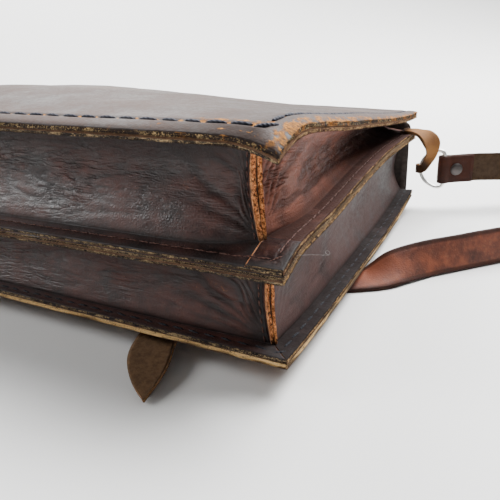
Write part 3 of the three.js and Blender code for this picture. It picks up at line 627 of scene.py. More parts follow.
ear_seams = {}
# the last column is how strongly painted shade darkens each side strip towards the mouth
for level_name, bows, low, high, wrinkled, fanned, blushed, side_wrinkled, splay, side_hide, far_end_shade in (
        ("upper", UPPER_BOW, upper_low, upper_high, 0.8, 1.2, 0.19, 0.7, 0.35, UPPER_SIDE_LIT_HIDE, 0.95),
        ("lower", LOWER_BOW, lower_low, lower_high, 0.6, 2.2, 0.12, 0.25, -0.35, LOWER_SIDE_HIDE, 0.2)):
    corner_in = HALF_WIDTH - np.abs(bottom_stations)
    middle = ease(CORNER_BLEND, corner_in)
    grid = gusset_grid(bottom_stations, corner_in, MITRE_X, blend(bows["corner_flange"], FLANGE, middle),
                       blend(bows["corner"], bows["bottom"], middle), blend(0.5, bows["bottom_tip"], middle),
                       bottom_plan, low, high)
    run, lanes = np.meshgrid(bottom_stations, lane, indexing="ij")
    corner_in = corner_in[:, None]
    free = section ** 0.6 * np.clip((corner_in - 1.5) / 8, 0, 1)
    pull = (38 - lanes) * 0.5 * np.exp(-corner_in / 28)
    wrinkles = 0.6 * creases(run / 46, (lanes + pull) / 6.5, 11)
    wrinkles += 0.42 * creases(run / 26, (lanes + pull) / 3.6, 17)
    pleats = fanned * fanned_pleats(corner_in, lanes, 66, 19)
    swells = 0.3 * unevenness(run / 45, lanes / 22, 21)
    near_corner = 1 - ease(90, corner_in - 45)
    blush = (blushed + 0.3 * np.clip(pleats, 0, 0.6)) * bell(corner_in - 52, 36) * section
    # painted shade on the bottom strips beside each corner seam
    corner_shade = 0.9 * bell(corner_in - 2.5, 17) * (corner_in > 1)
    strip = leather_wall(
        f"{level_name}_bottom_gusset_hide", grid, GUSSET_T / 2 + splay * at_ear(corner_in, 1.1), GUSSET_T / 2,
        relief=wrinkled * free * ((1 - 0.6 * near_corner) * wrinkles + pleats + swells) + seam_groove,
        marks={"wear": np.maximum(at_ear(corner_in, 0.4), 0.04 + blush),
               "furrow": wrinkled * free * (1 - 0.75 * near_corner),
               "grime": np.maximum(np.maximum(dyed_edges_and_fold_shade, overhang_shadow)[None, :], corner_shade)},
        ragged=0.4)
    for hand, sign, ear_row in (("left", -1, 12), ("right", 1, -13)):
        keep_clear_of_diagonal(strip, sign, -1)
        ear_line = grid[ear_row, len(FLANGE_SHARES) + 2:-len(FLANGE_SHARES) - 2]
        ear_seams[f"{level_name}_corner_thread_{hand}"] = ear_line - np.array((0, GUSSET_T / 2 + 0.05, 0))
    finish_piece(strip, GUSSET_HIDE, "gusset_leather", f"{level_name}_bottom_gusset")
    for hand, sign in HANDS:
        along = ease(CORNER_BLEND, side_stations)
        grid = gusset_grid(side_stations, side_stations, MITRE_Y, blend(bows["corner_flange"], FLANGE, along),
                           blend(bows["corner"], bows["mouth"], ease(HEIGHT, side_stations)),
                           blend(0.5, bows["side_tip"], along), side_plan(sign), low, high)
        run, lanes = np.meshgrid(side_stations, lane, indexing="ij")
        free = section ** 0.6 * np.clip((run - 1.5) / 8, 0, 1)
        sway = 5 * np.sin(run / 45)
        wrinkles = 0.45 * creases(run / 30, (lanes + sway) / 6, 31)
        wrinkles += 0.38 * creases(run / 15, (lanes - sway) / 3.4, 37)
        folds = -0.75 * bell(lanes - 20 - 0.6 * sway, 1.9) - 0.5 * bell(lanes - 28 + sway, 1.6)
        swells = 0.12 + 0.28 * unevenness(run / 60, lanes / 20, 41) + folds * np.clip(run / 50, 0, 1)
        swells += 1.2 * fanned_pleats(run, lanes, 95, 43)
        # painted shade along the low fold of the side strips, and over their far ends below
        low_fold_shade = 0.75 * far_end_shade * bell(lanes - 13, 4) * ease(30, run - 8)
        strip = leather_wall(
            f"{level_name}_side_gusset_{hand}_hide", grid,
            GUSSET_T / 2 + splay * at_ear(run, 1.1), GUSSET_T / 2,
            relief=side_wrinkled * free * (wrinkles + swells) + seam_groove, flip=sign < 0,
            marks={"wear": 0.04 + 0.96 * at_ear(run, 0.4), "furrow": side_wrinkled * free,
                   "grime": np.maximum(np.maximum(dyed_edges_and_flange_shade[None, :], low_fold_shade),
                                       far_end_shade * ease(140, run - 65))}, ragged=0.4)
        keep_clear_of_diagonal(strip, sign, 1)
        finish_piece(strip, side_hide, "gusset_leather", f"{level_name}_side_gusset_{hand}")

# Gusset laps: at each corner of the middle seam the side strip's flange runs on over the bottom strip's.
# The lap is pared thin towards the side strip, and its raw end shows as a tan line at the foot of the
# corner seam.
LAP_T, LAP_DEPTH, LAP_PARED = 0.8, 17.6, 3
for hand, sign in HANDS:
    lap_in, lap_up = np.meshgrid(np.linspace(LAP_DEPTH, 0.2, 30), np.linspace(0.2, LAP_DEPTH + LAP_PARED, 36))
    lap_x, lap_edge = sign * (HALF_WIDTH - lap_in), np.minimum(lap_in, lap_up)
    pared = LAP_T * np.clip((LAP_DEPTH + LAP_PARED - lap_up) / (2 * LAP_PARED), 0.04, 1)
    lap_low = upper_low(lap_x, lap_up) + GUSSET_T / 2 + 0.1
    lap = leather_wall(f"gusset_lap_{hand}", np.stack([lap_x, lap_up, lap_low], axis=2), pared, 0,
                       facing=(0, 0, 1), relief=-0.25 * bell(lap_edge - FLANGE_SEAM, GROOVE) * (pared > 0.5),
                       marks={"wear": 0.75 * bell(LAP_DEPTH - lap_in, 0.7),
                              "grime": 0.8 * bell(lap_edge, 3.6)}, flip=sign < 0)
    finish_piece(lap, GUSSET_HIDE, "gusset_leather")

# Flap: a hide sewn under the back panel's mouth edge. It turns over the mouth and lies folded under the
# front, so from above only its turn at the mouth shows.
FLAP_T, FLAP_SEAT = 2.2, 0.45
FLAP_ROOT_HALF, FLAP_HALF = HALF_WIDTH - 35, HALF_WIDTH - 7
FLAP_ROOT_ROWS = (264, 273)
FLAP_TURN = {"y": (281, 284.3, 286, 286.6), "drop": (0, 1.2, 4.2, 9), "in": (35, 25, 15, 7)}
FLAP_FALL = {"y": (287, 287.2, 286.5, 284.3, 279, 270, 210, 150, 140, 130, 120, 112, 62),
             "z": (60, 35, 14, 7.6, 4, 3.4, 3.4, 3.4, 4, 5.1, 6, 6.3, 6.3)}


def resampled(points, steps):
    """A run of points, or of rows of points, at even steps on a smooth curve through them."""
    at = chord_lengths(points)
    return smooth(at, points, np.linspace(0, at[-1], steps))


def flap_root(x, y):
    return back_top(x, np.full_like(x, y)) - PANEL_T - FLAP_SEAT - FLAP_T / 2


shares = np.linspace(1, -1, 71)
flap_rows = [(FLAP_ROOT_HALF, y, flap_root(shares * FLAP_ROOT_HALF, y)) for y in FLAP_ROOT_ROWS]
flap_rows += [(HALF_WIDTH - inset, y, flap_root(shares * (HALF_WIDTH - inset), HEIGHT) - drop)
              for y, drop, inset in zip(*FLAP_TURN.values())]
flap_rows += [(FLAP_HALF, y, np.full_like(shares, z)) for y, z in zip(*FLAP_FALL.values())]
flap_grid = resampled(np.stack([np.stack([shares * half, np.full_like(shares, y), z], axis=1)
                                for half, y, z in flap_rows]), 110)
flap_x, flap_y, flap_z = np.moveaxis(flap_grid, 2, 0)
flap_dents = 0.35 * unevenness(flap_x / 30, flap_y / 14 + flap_z / 14, 51) * (flap_y > 285) * (flap_z > 16)
FLAP_HIDE = leather(
    "flap_hide", dark=(0.022, 0.0155, 0.014), warm=(0.06, 0.036, 0.03), scuffed=(0.14, 0.09, 0.072),
    raw=(0.1, 0.06, 0.035), flesh=(0.06, 0.045, 0.04), polish=0.42, edge_dye=0.1)
flap = leather_wall("flap_leather", flap_grid, FLAP_T / 2, FLAP_T / 2, relief=flap_dents)
finish_piece(flap, FLAP_HIDE, "back_leather", "flap")

# Closure straps: two straps with pointed ends, sewn to the flap and pushed through a leather keeper on the
# front. The pointed free end bends out from under the bottom edge with its flesh side up.
CLOSURE_WIDTH, CLOSURE_T, CLOSURE_TIP = 22.4, 2, 32
CLOSURE_RUN = np.array([
    (86, 262, 1), (86, 205, 1), (86, 150, 1), (86, 140, 1.6), (86, 130, 2.7), (86, 120, 3.6), (86, 112, 3.9),
    (86, 84, 3.9), (85.9, 60, 4), (85, 45, 4.6), (83, 30, 5.8), (79.7, 15, 6.9), (75, 0, 7.2),
    (71.6, -7, 6.8), (68.2, -13, 6.1), (65, -18.5, 5.2), (61.7, -24, 4), (59.2, -28, 3), (57.2, -31.2, 2.1)])
KEEPER = {"inset": 83, "y": 30, "width": 34, "run": 12, "wall": 2.6, "squareness": 0.35}
TONGUE_HIDE = leather(
    "closure_hide", dark=(0.05, 0.022, 0.014), warm=(0.13, 0.055, 0.03), scuffed=(0.22, 0.12, 0.08),
    raw=(0.42, 0.2, 0.07), flesh=(0.17, 0.092, 0.042), polish=0.5)


def ribbon(at, across, widths, columns):
    """A grid of points with the given width direction at each point of a path."""
    spread = np.linspace(-0.5, 0.5, columns)
    return at[:, None] + across[:, None] * (widths[:, None] * spread[None, :])[..., None]


def unit(vectors):
    return vectors / np.linalg.norm(vectors, axis=1, keepdims=True)


def headings(points):
    return unit(np.gradient(points, axis=0))


def squared_off(values):
    return np.sign(values.round(9)) * np.abs(values) ** KEEPER["squareness"]


for hand, sign in HANDS:
    run = resampled((CLOSURE_RUN - np.array((HALF_WIDTH, 0, 0))) * np.array((-sign, 1, 1)), 170)
    sideways = unit(np.cross(headings(run), (0, 0, 1)))
    to_tip = chord_lengths(run)[-1] - chord_lengths(run)
    widths = CLOSURE_WIDTH * np.clip(1 - (1 - np.minimum(1, to_tip / CLOSURE_TIP)) ** 2, 0.03, 1)
    strap = leather_wall(f"closure_strap_{hand}_hide", ribbon(run, sideways, widths, 15),
                         CLOSURE_T / 2, CLOSURE_T / 2)
    finish_piece(strap, TONGUE_HIDE, "strap_leather", f"closure_strap_{hand}")
    keeper_x = sign * (HALF_WIDTH - KEEPER["inset"])
    keeper_top = float(side_height("front", KEEPER["y"] + KEEPER["run"] / 2)) - GAP
    half_w, half_h = KEEPER["width"] / 2 - KEEPER["wall"] / 2, keeper_top / 2 - KEEPER["wall"] / 2
    bends = np.radians(np.linspace(0, 360, 65))[:, None]
    deep = np.linspace(KEEPER["y"] - KEEPER["run"] / 2, KEEPER["y"] + KEEPER["run"] / 2, 9)[None, :]
    loop = np.stack(np.broadcast_arrays(keeper_x + squared_off(np.cos(bends)) * half_w, deep,
                                        squared_off(np.sin(bends)) * half_h + keeper_top / 2), axis=2)
    keeper = leather_wall(f"closure_keeper_{hand}_hide", loop, KEEPER["wall"] / 2, KEEPER["wall"] / 2,
                          closed=True, flip=True)
    finish_piece(keeper, TONGUE_HIDE, "strap_leather", f"closure_keeper_{hand}")

# Ring tabs: short straps of undyed tan suede, sewn on the middle seam near the mouth. Each comes out, hangs
# down and is wrapped round a D of steel wire that carries the shoulder strap. The wrapped end is darkened
# with painted shade.
TAB_T = 2
TAB_RUN = {
    "out": (-8.5, 0.5, 6, 11.5, 15.5, 15.5, 13.4, 10.6, 8.4, 6.4, 4, 1.8, 0.9, 1.8, 4, 7),
    "y": (264, 264, 264, 264.5, 266.5, 269.5, 274, 279, 282.8, 284.6, 284.9, 285.8, 288, 290.2, 291.1, 290.8),
    "z": (71.05, 71.05, 69.4, 66, 60.5, 54, 47.5, 42, 38, 35.4, 34.5, 34.5, 34.5, 34.5, 34.5, 34.5),
    "across x": (0, 0, 0, 0.25, 0.6, 0.85, 0.9, 0.6, 0.25, 0, 0, 0, 0, 0, 0, 0),
    "across y": (1, 1, 0.95, 0.8, 0.6, 0.3, 0.1, 0, 0, 0, 0, 0, 0, 0, 0, 0),
    "across z": (-0.05, -0.05, 0.1, 0.35, 0.4, 0.3, -0.3, -0.8, -0.97, -1, -1, -1, -1, -1, -1, -1),
    "width": (20, 20, 17, 16, 14, 10, 8, 7, 7, 7, 7, 7, 7, 7, 7, 7),
}
TAB_STEPS, TAB_WRAP = 110, 6
RING = {"bar_out": 23, "y": 288, "z": 34.5, "half_bar": 14, "half_arc": 16,
        "depth": 19, "shoulder": 3, "wire": 1.5}
TAN_SUEDE = leather(
    "tan_suede", dark=(0.14, 0.055, 0.013), warm=(0.23, 0.098, 0.024), scuffed=(0.32, 0.16, 0.05),
    raw=(0.12, 0.06, 0.025), flesh=(0.25, 0.11, 0.027), polish=0.8, grain=0.8, edge_dye=0.08)


def worn_metal(name, dull, bright, scale, detail, metallic, polish):
    """Metal with a fine tarnish that changes its colour and its roughness."""
    material, start = new_material(name)
    tarnish = start.noise(start.place(), scale, detail)
    start.surface({"Base Color": start.mix(tarnish, shaded(dull), shaded(bright)), "Metallic": metallic,
                   "Roughness": polish + 0.3 * tarnish})
    return material


def bent_wire(name, points, radius, closed):
    """A round wire or thread bent smoothly through points, as a mesh."""
    bend = bpy.data.curves.new(name + "_bend", "CURVE")
    bend.dimensions, bend.bevel_depth, bend.bevel_resolution, bend.resolution_u = "3D", radius * MM, 4, 10
    bend.use_fill_caps = True
    spline = bend.splines.new("BEZIER")
    spline.bezier_points.add(len(points) - 1)
    spline.use_cyclic_u = closed
    for knot, point in zip(spline.bezier_points, points):
        knot.co = to_row(point)
        knot.handle_left_type = knot.handle_right_type = "AUTO"
    bent = show(name + "_bend", bend)
    mesh = bpy.data.meshes.new_from_object(bent.evaluated_get(bpy.context.evaluated_depsgraph_get()))
    bpy.data.objects.remove(bent)
    mesh.shade_smooth()
    return show(name, mesh)


RING_STEEL = worn_metal("ring_steel_wire", (0.72, 0.72, 0.7), (0.92, 0.92, 0.9), 260.0, 4.0, 1.0, 0.16)
tab_along = chord_lengths(np.stack([TAB_RUN[column] for column in ("out", "y", "z")], axis=1))
tab_at = np.linspace(0, tab_along[-1], TAB_STEPS)
track = smooth(tab_along, np.stack(list(TAB_RUN.values()), axis=1), tab_at)
# painted shade on the end of the tab that wraps round the ring
wrapped_end_shade = 0.9 * ease(12, tab_at - tab_along[TAB_WRAP])[:, None]
for hand, sign in HANDS:
    hand_way = np.array((sign, 1, 1))
    at = (track[:, :3] + np.array((HALF_WIDTH, 0, 0))) * hand_way
    ways, sideways = headings(at), track[:, 3:6] * hand_way
    sideways = unit(sideways - ways * np.sum(sideways * ways, axis=1, keepdims=True))
    tab = leather_wall(f"ring_tab_{hand}_suede", ribbon(at, sideways, track[:, 6], 13), TAB_T / 2, TAB_T / 2,
                       marks={"grime": wrapped_end_shade}, flip=sign < 0)
    finish_piece(tab, TAN_SUEDE, "tan_leather", f"ring_tab_{hand}")
    bar_x = HALF_WIDTH + RING["bar_out"]
    wire = [(bar_x - RING["shoulder"] - (RING["depth"] - RING["shoulder"]) * math.cos(angle),
             RING["z"] + RING["half_arc"] * math.sin(angle)) for angle in np.radians(np.arange(-90, 91, 30))]
    wire += [(bar_x, RING["z"] + height) for height in (RING["half_bar"], 0, -RING["half_bar"])]
    wire_at = [(sign * x, RING["y"], z) for x, z in wire]
    ring = bent_wire(f"strap_ring_{hand}_wire", wire_at, RING["wire"], True)
    finish_piece(ring, RING_STEEL, "ring_steel", f"strap_ring_{hand}")

# Shoulder strap: one long reddish strap with dark burnished edges and a line pressed along each. Both ends
# fold round a ring's bar and are riveted. It stands on edge beside the bag and runs flat underneath it.
# Where it passes beside the bag it is darkened with the bag's painted shadow.
STRAP_WIDTH, STRAP_T, STRAP_COLUMNS, STRAP_STEP = 23.4, 2.6, 21, 2.5
STRAP_HEADING = np.array((0.875, 0.484, 0)) / math.hypot(0.875, 0.484)
STRAP_ACROSS = np.array((-STRAP_HEADING[1], STRAP_HEADING[0], 0))
STRAP_FOLD = ((25, -1.5), (8, -1.5), (4.8, -1.7), (2.4, -2.6), (0, -3.4), (-2.4, -2.4), (-3.4, 0),
              (-2.4, 2.4), (0, 3.4), (2.4, 2.6), (4.8, 1.7), (8, 1.5), (25, 1.5))
STRAP_ROUTE = np.array([
    (66, 312, 22, 0), (95, 324, 20.5, 0), (130, 326, 16, 0), (156, 308, 10, 0), (162, 278, 5, 2),
    (148, 248, 1.6, 6), (115, 217, 0.2, 14), (77, 185, 0, 18), (53, 163, 0, 21), (35, 147, 0, 27),
    (19, 132, 0, 46), (5, 121.5, 0, 81), (-15, 111.5, 0, 90), (-70, 93.5, 0, 90),
    (-140, 79, 0, 90), (-HALF_WIDTH, 74, 0, 90)])
RIVET = {"along": 10.4, "shank": 2, "head": 5.2, "seat": 3.05, "dome": 1.8, "sides": 32}
STRAP_HIDE = leather(
    "strap_hide", dark=(0.055, 0.024, 0.019), warm=(0.26, 0.074, 0.036), scuffed=(0.33, 0.14, 0.08),
    raw=(0.05, 0.026, 0.018), flesh=(0.075, 0.045, 0.026), polish=0.38, edge_dye=0.05, sheen=0.2)
fold_at = np.array((HALF_WIDTH + RING["bar_out"], RING["y"], RING["z"]))
fold = [(*(fold_at + along * STRAP_HEADING + across_by * STRAP_ACROSS), 0) for along, across_by in STRAP_FOLD]
leans = np.radians(STRAP_ROUTE[:, 3])
lifts = STRAP_ROUTE[:, 2] + STRAP_WIDTH / 2 * np.cos(leans) + STRAP_T / 2 * np.sin(leans)
route = np.stack([HALF_WIDTH + STRAP_ROUTE[:, 0], STRAP_ROUTE[:, 1], lifts, STRAP_ROUTE[:, 3]], axis=1)
stops = np.concatenate([np.array(fold), route])
strap_at = chord_lengths(stops[:, :3])
fine = np.concatenate([np.linspace(a, b, max(3, int((b - a) / STRAP_STEP)), endpoint=False)
                       for a, b in zip(strap_at, strap_at[1:])] + [strap_at[-1:]])
half = smooth(strap_at, stops, fine)
half[:, 3] = np.interp(fine, strap_at, stops[:, 3])
whole = np.concatenate([half, half[-2::-1] * np.array((-1, 1, 1, 1))])
at, ways = whole[:, :3].copy(), headings(whole[:, :3])
lean = np.radians(whole[:, 3])[:, None]
flat_way = unit(np.stack([ways[:, 1], -ways[:, 0], np.zeros(len(ways))], axis=1))
standing = flat_way * np.sin(lean) + np.array((0, 0, 1)) * np.cos(lean)
standing = unit(standing - ways * np.sum(standing * ways, axis=1, keepdims=True))
reach = np.abs(standing[:, 2]) * STRAP_WIDTH + np.hypot(standing[:, 0], standing[:, 1]) * STRAP_T
at[:, 2] = np.maximum(at[:, 2], reach / 2)
strap_grid = ribbon(at, standing, np.full(len(at), STRAP_WIDTH), STRAP_COLUMNS)
from_strap_edge = STRAP_WIDTH * (0.5 - np.abs(np.linspace(-0.5, 0.5, STRAP_COLUMNS)))[None, :]
pressed_line = -0.3 * bell(from_strap_edge - 2.6, 0.7) - 0.35 * np.exp(-from_strap_edge / 0.7)
along_strap = chord_lengths(at)
handled_ends = 0.8 * ease(10, 62 - np.minimum(along_strap, along_strap[-1] - along_strap))[:, None]
# painted shadow of the bag on the strap where it passes beside it, joined below with the real dark burnished
# edges
bag_shadow_on_strap = (bell(np.abs(at[:, 0]) - HALF_WIDTH - 10, 42) * (at[:, 1] < 200))[:, None]
burnish_and_bag_shadow = np.maximum(0.85 * np.exp(-((from_strap_edge / 3.0) ** 4)), 0.3 * bag_shadow_on_strap)
shoulder = leather_wall("shoulder_strap_hide", strap_grid, STRAP_T / 2, STRAP_T / 2, relief=pressed_line,
                        marks={"grime": np.maximum(handled_ends, burnish_and_bag_shadow)}, flip=True, ragged=0.08)
finish_piece(shoulder, STRAP_HIDE, "strap_leather", "shoulder_strap")
RIVET_BRASS = worn_metal("dark_rivet_brass", (0.035, 0.031, 0.031), (0.13, 0.112, 0.105),
                         420.0, 5.0, 0.6, 0.3)
rounds = np.radians(np.linspace(0, 90, 9))
dome = [(RIVET["head"] * math.cos(a), RIVET["seat"] + RIVET["dome"] * math.sin(a)) for a in rounds[:-1]]
profile = [(RIVET["shank"], 0), (RIVET["shank"], RIVET["seat"]), *dome]
profile = [(radius, -height) for radius, height in profile[:0:-1]] + profile
sides = RIVET["sides"]
spins = np.linspace(0, 2 * math.pi, sides, endpoint=False)
last_ring, top_pole = (len(profile) - 1) * sides, len(profile) * sides
for hand, sign in HANDS:
    hand_way, upright_way = np.array((sign, 1, 1)), np.array((0, 0, 1))
    axis = STRAP_ACROSS * hand_way
    aside = np.cross(axis, upright_way)
    centre = (fold_at + RIVET["along"] * STRAP_HEADING) * hand_way
    spun = [centre + axis * height + radius * (aside * math.cos(s) + upright_way * math.sin(s))
            for radius, height in profile for s in spins]
    spun += [centre + axis * end * (RIVET["seat"] + RIVET["dome"]) for end in (-1, 1)]
    faces = []
    for k in range(sides):
        beside = (k + 1) % sides
        faces += [(i + k, i + beside, i + sides + beside, i + sides + k) for i in range(0, last_ring, sides)]
        faces += [(top_pole, beside, k), (top_pole + 1, last_ring + k, last_ring + beside)]
    rivet_mesh = bpy.data.meshes.new(f"strap_rivet_{hand}_head")
    rivet_mesh.from_pydata(to_row(spun).tolist(), [], faces)
    shape = bmesh.new()
    shape.from_mesh(rivet_mesh)
    bmesh.ops.recalc_face_normals(shape, faces=shape.faces)
    shape.to_mesh(rivet_mesh)
    shape.free()
    rivet_mesh.shade_smooth()
    rivet = show(f"strap_rivet_{hand}_head", rivet_mesh)
    finish_piece(rivet, RIVET_BRASS, "rivet_metal", f"strap_rivet_{hand}")

# Stitching: waxed thread along each seam, one long slanted stitch after another, sunk a little into the
# leather. The back seam's thread is thick and navy, the middle seam's thin and faded pink, the front
# seam's black. Fine fibres stand out of the divider's edge, and one white end of thread hangs loose.
TAB_SEAM_LOW, TAB_SEAM_HIGH, TAB_SEAM_RISE = 253, 275, TAB_T + 0.6
FLAP_SEAM_Y, FLAP_SEAM_END = 269, 5
seam_tree = bpy.data.node_groups.new("hand_stitching", "GeometryNodeTree")
for kind, names in (("Geometry", ("Seam",)),
                    ("Float", ("Pitch", "Length", "Thickness", "Slant", "Looseness")),
                    ("Int", ("Sides", "Seed")), ("Material", ("Thread",))):
    for name in names:
        seam_tree.interface.new_socket(name, in_out="INPUT", socket_type="NodeSocket" + kind)
seam_tree.interface.new_socket("Stitches", in_out="OUTPUT", socket_type="NodeSocketGeometry")
sewing = Shade(seam_tree)


def given(name):
    return sewing.node("NodeGroupInput", {}, {}, name)


spaced = sewing.node("GeometryNodeResampleCurve", {"mode": "LENGTH"},
                     {"Curve": given("Seam"), "Length": given("Pitch")})
shift = sewing.node("FunctionNodeRandomValue", {"data_type": "FLOAT"},
                    {"Seed": given("Seed"), 2: -1.0, 3: 1.0}, 1)
slanted = sewing.node("ShaderNodeVectorRotate", {"rotation_type": "Z_AXIS"}, {
    "Vector": sewing.node("GeometryNodeInputTangent", {}, {}),
    "Angle": shift * given("Looseness") + given("Slant")})
turned = sewing.node("FunctionNodeAlignRotationToVector", {"axis": "X"}, {"Vector": slanted})
bead = sewing.node("GeometryNodeMeshUVSphere", {},
                   {"Segments": given("Sides"), "Rings": given("Sides"), "Radius": 0.5})
stretch = sewing.node("ShaderNodeCombineXYZ", {},
                      {"X": given("Length"), "Y": given("Thickness"), "Z": given("Thickness")})
stitch = sewing.node("GeometryNodeTransform", {}, {"Geometry": bead, "Scale": stretch})
sewn = sewing.node("GeometryNodeInstanceOnPoints", {},
                   {"Points": spaced, "Instance": stitch, "Rotation": turned})
real = sewing.node("GeometryNodeRealizeInstances", {}, {"Geometry": sewn})
rounded = sewing.node("GeometryNodeSetShadeSmooth", {}, {"Geometry": real})
coloured = sewing.node("GeometryNodeSetMaterial", {}, {"Geometry": rounded, "Material": given("Thread")})
sewing.node("NodeGroupOutput", {}, {"Stitches": coloured})


def thread(name, dark, pale):
    """Twisted waxed thread, its plies shown as fine slanting bands."""
    material, start = new_material(name)
    place = start.place()
    plies = start.node("ShaderNodeTexWave", {"bands_direction": "DIAGONAL"},
                       {"Vector": place, "Scale": 260.0}, "Fac")
    lint = start.noise(place, 500.0, 3.0)
    bump = start.node("ShaderNodeBump", {}, {"Strength": 0.5, "Distance": 0.0003, "Height": plies})
    start.surface({"Base Color": start.mix(plies * 0.5 + lint * 0.5, shaded(dark), shaded(pale)),
                   "Roughness": 0.5 + 0.3 * lint, "Specular IOR Level": 0.2, "Normal": bump})
    return material


def sew(name, path, pitch, length, thickness, slant, material, looseness=7, sides=8):
    """Stitches along a path, made by the stitching tree and kept as a plain mesh."""
    line = bpy.data.curves.new(name, "CURVE")
    line.dimensions = "3D"
    spline = line.splines.new("POLY")
    spline.points.add(len(path) - 1)
    spline.points.foreach_set("co", np.c_[to_row(path), np.ones(len(path))].ravel())
    seam = show(name + "_line", line)
    modifier = seam.modifiers.new("hand_stitching", "NODES")
    modifier.node_group = seam_tree
    sockets = {item.name: item.identifier for item in seam_tree.interface.items_tree
               if item.in_out == "INPUT"}
    for socket, value in (("Pitch", pitch * MM), ("Length", length * MM), ("Thickness", thickness * MM),
                          ("Slant", math.radians(slant)), ("Looseness", math.radians(looseness)),
                          ("Sides", sides), ("Seed", 5), ("Thread", material)):
        modifier[sockets[socket]] = value
    stitches = bpy.data.meshes.new_from_object(seam.evaluated_get(bpy.context.evaluated_depsgraph_get()))
    bpy.data.objects.remove(seam)
    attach(show(name, stitches), "root")


def seam_round(inset, height_at):
    """A path at an inset from the bag's edge: down its left side, along its bottom, up its right side."""
    down = np.linspace(SEAM_END, inset, 140)
    along = np.linspace(inset - HALF_WIDTH, HALF_WIDTH - inset, 210)[1:-1]
    at_side = np.full_like(down, HALF_WIDTH - inset)
    x = np.concatenate([-at_side, along, at_side])
    y = np.concatenate([down, np.full_like(along, inset), down[::-1]])
    return np.stack([x, y, height_at(x, y)], axis=1)


def past_corner(y):
    """0 near a bottom corner and 1 further up a side."""
    return ease(45, y - 22)


def back_seam(x, y):
    return back_top(x, y) - 0.5 - 0.6 * past_corner(y)


def back_seam_under(x, y):
    return upper_high(x, y) - GUSSET_T / 2


def middle_seam(x, y):
    """The middle seam's upper face, raised over each corner's lap and over the tab that is sewn into it."""
    lapped = np.where((HALF_WIDTH - np.abs(x) < LAP_DEPTH) & (y < LAP_DEPTH), LAP_T, 0)
    tabbed = np.where((y > TAB_SEAM_LOW) & (y < TAB_SEAM_HIGH), TAB_SEAM_RISE, 0)
    return upper_low(x, y) + GUSSET_T / 2 + lapped + tabbed


def middle_seam_under(x, y):
    return lower_high(x, y) - GUSSET_T / 2


def front_seam(x, y):
    return lower_low(x, y) + GUSSET_T / 2 - 0.4 - 0.35 * past_corner(y)


def front_seam_under(x, y):
    return side_height("front", y)


NAVY_THREAD = thread("navy_thread", (0.008, 0.009, 0.017), (0.029, 0.03, 0.046))
BLACK_THREAD = thread("black_thread", (0.004, 0.0045, 0.007), (0.015, 0.016, 0.022))
PINK_THREAD = thread("faded_pink_thread", (0.03, 0.014, 0.012), (0.15, 0.072, 0.056))
for name, inset, height_at, pitch, length, thickness, slant, colour in (
        ("back_seam_thread", BACK_SEAM_INSET, back_seam, back_pitch * 0.999, 10.4, 2.3, -8, NAVY_THREAD),
        ("back_seam_thread_under", 8, back_seam_under, 11.5, 8.5, 1.4, 6, NAVY_THREAD),
        ("middle_seam_thread", FLANGE_SEAM, middle_seam, 6.4, 6.5, 0.8, 4, PINK_THREAD),
        ("middle_seam_thread_under", FLANGE_SEAM, middle_seam_under, 8.9, 7.2, 1.1, 0, PINK_THREAD),
        ("front_seam_thread", FLANGE_SEAM, front_seam, 9.2, 7.4, 1.5, -5, BLACK_THREAD),
        ("front_seam_thread_under", FLANGE_SEAM, front_seam_under, 9.2, 7.4, 1.5, 5, BLACK_THREAD)):
    sew(name, seam_round(inset, height_at), pitch, length, thickness, slant, colour)
for name, path in ear_seams.items():
    sew(name, path, 4.4, 3.4, 0.9, 0, PINK_THREAD)
root_x = np.linspace(FLAP_SEAM_END - FLAP_ROOT_HALF, FLAP_ROOT_HALF - FLAP_SEAM_END, 160)
root_y = np.full_like(root_x, FLAP_SEAM_Y)
flap_seam = np.stack([root_x, root_y, back_top(root_x, root_y) - 0.7], axis=1)
sew("flap_seam_thread", flap_seam, 10, 8, 1.6, -7, NAVY_THREAD)
EDGE_FIBRE = thread("edge_fibre", (0.12, 0.06, 0.025), (0.55, 0.36, 0.17))
for name, rise in (("upper", 0.6), ("lower", 1.7)):
    fibre_line = seam_round(-0.1, lambda x, y: divider_low(y) + rise)
    sew(f"middle_edge_fibres_{name}", fibre_line, 0.9, 1.7, 0.16, 90, EDGE_FIBRE, looseness=65, sides=3)
LOOSE_END = ((209, 16, 62.3), (213, 18.5, 62.2), (217, 20, 62.2), (220.5, 20, 62.6), (222.6, 19.6, 63.2),
             (223, 19, 64.7), (221.8, 19, 65.2), (221, 19.4, 64.2), (222.2, 20, 62.8))
loose_end = bent_wire("loose_thread_end", LOOSE_END, 0.075, False)
loose_end.data.materials.append(thread("white_thread", (0.12, 0.12, 0.12), (0.34, 0.33, 0.32)))
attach(loose_end, "root")

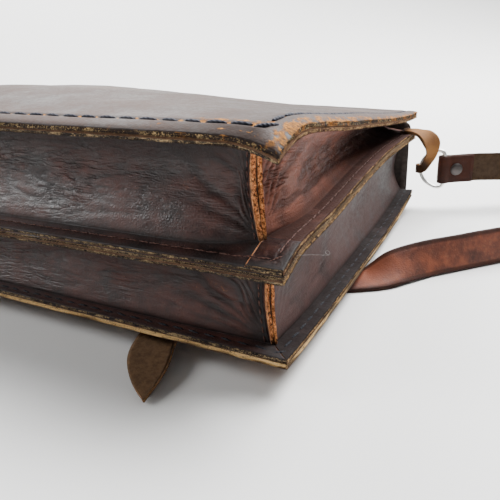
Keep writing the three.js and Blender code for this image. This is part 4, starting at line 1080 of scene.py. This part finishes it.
# Table and light: a plain pale sheet under the bag that sweeps up behind it, under a low soft sky. A large
# lamp like a window stands behind the bag on its right, so the back panel shines and the shadow falls towards
# the camera. A small lamp at the left lights the gussets, and one more lights the sheet far behind.
TABLE_FRONT, TABLE_HALF, SWEEP_START, SWEEP_RADIUS, SWEEP_TOP = -5.0, 7, 0.8, 3.4, 6.0
SKY_STRENGTH = 0.165
sweep = [(TABLE_FRONT, 0.0), (SWEEP_START, 0.0)]
sweep += [(SWEEP_START + SWEEP_RADIUS * math.sin(a), SWEEP_RADIUS - SWEEP_RADIUS * math.cos(a))
          for a in np.radians(np.arange(3, 91, 3))]
sweep.append((SWEEP_START + SWEEP_RADIUS, SWEEP_TOP))
table_mesh = bpy.data.meshes.new("pale_table")
table_mesh.from_pydata([into_scene * d + level * side + Vector((0, 0, z)) for d, z in sweep
                        for side in (-TABLE_HALF, TABLE_HALF)], [],
                       [(2 * i, 2 * i + 1, 2 * i + 3, 2 * i + 2) for i in range(len(sweep) - 1)])
table_mesh.shade_smooth()
paper, paper_start = new_material("pale_paper")
paper_start.surface({"Base Color": (0.83, 0.83, 0.82, 1), "Roughness": 0.8})
table_mesh.materials.append(paper)
show("pale_table", table_mesh)
sky = bpy.data.worlds.new("soft_sky")
bpy.context.scene.world = sky
sky.use_nodes = True
sky.node_tree.nodes["Background"].inputs["Color"].default_value = (1, 1, 1, 1)
sky.node_tree.nodes["Background"].inputs["Strength"].default_value = SKY_STRENGTH
for name, at, aim, size, power in (
        ("window_lamp", (0.6, 1.0, 1.62), (0.05, 0, 0.06), 1.4, 156),
        ("left_lamp", (-1.25, -0.65, 0.85), (-0.05, -0.13, 0.06), 0.6, 18),
        ("backdrop_lamp", (-2.0, 1.7, 2.6), (-2.1, 1.6, 0.2), 2.0, 240)):
    lamp = show(name, bpy.data.lights.new(name, "AREA"))
    lamp.data.size, lamp.data.energy = size, power
    lamp.location = at
    lamp.rotation_euler = (Vector(aim) - Vector(at)).to_track_quat("-Z", "Y").to_euler()
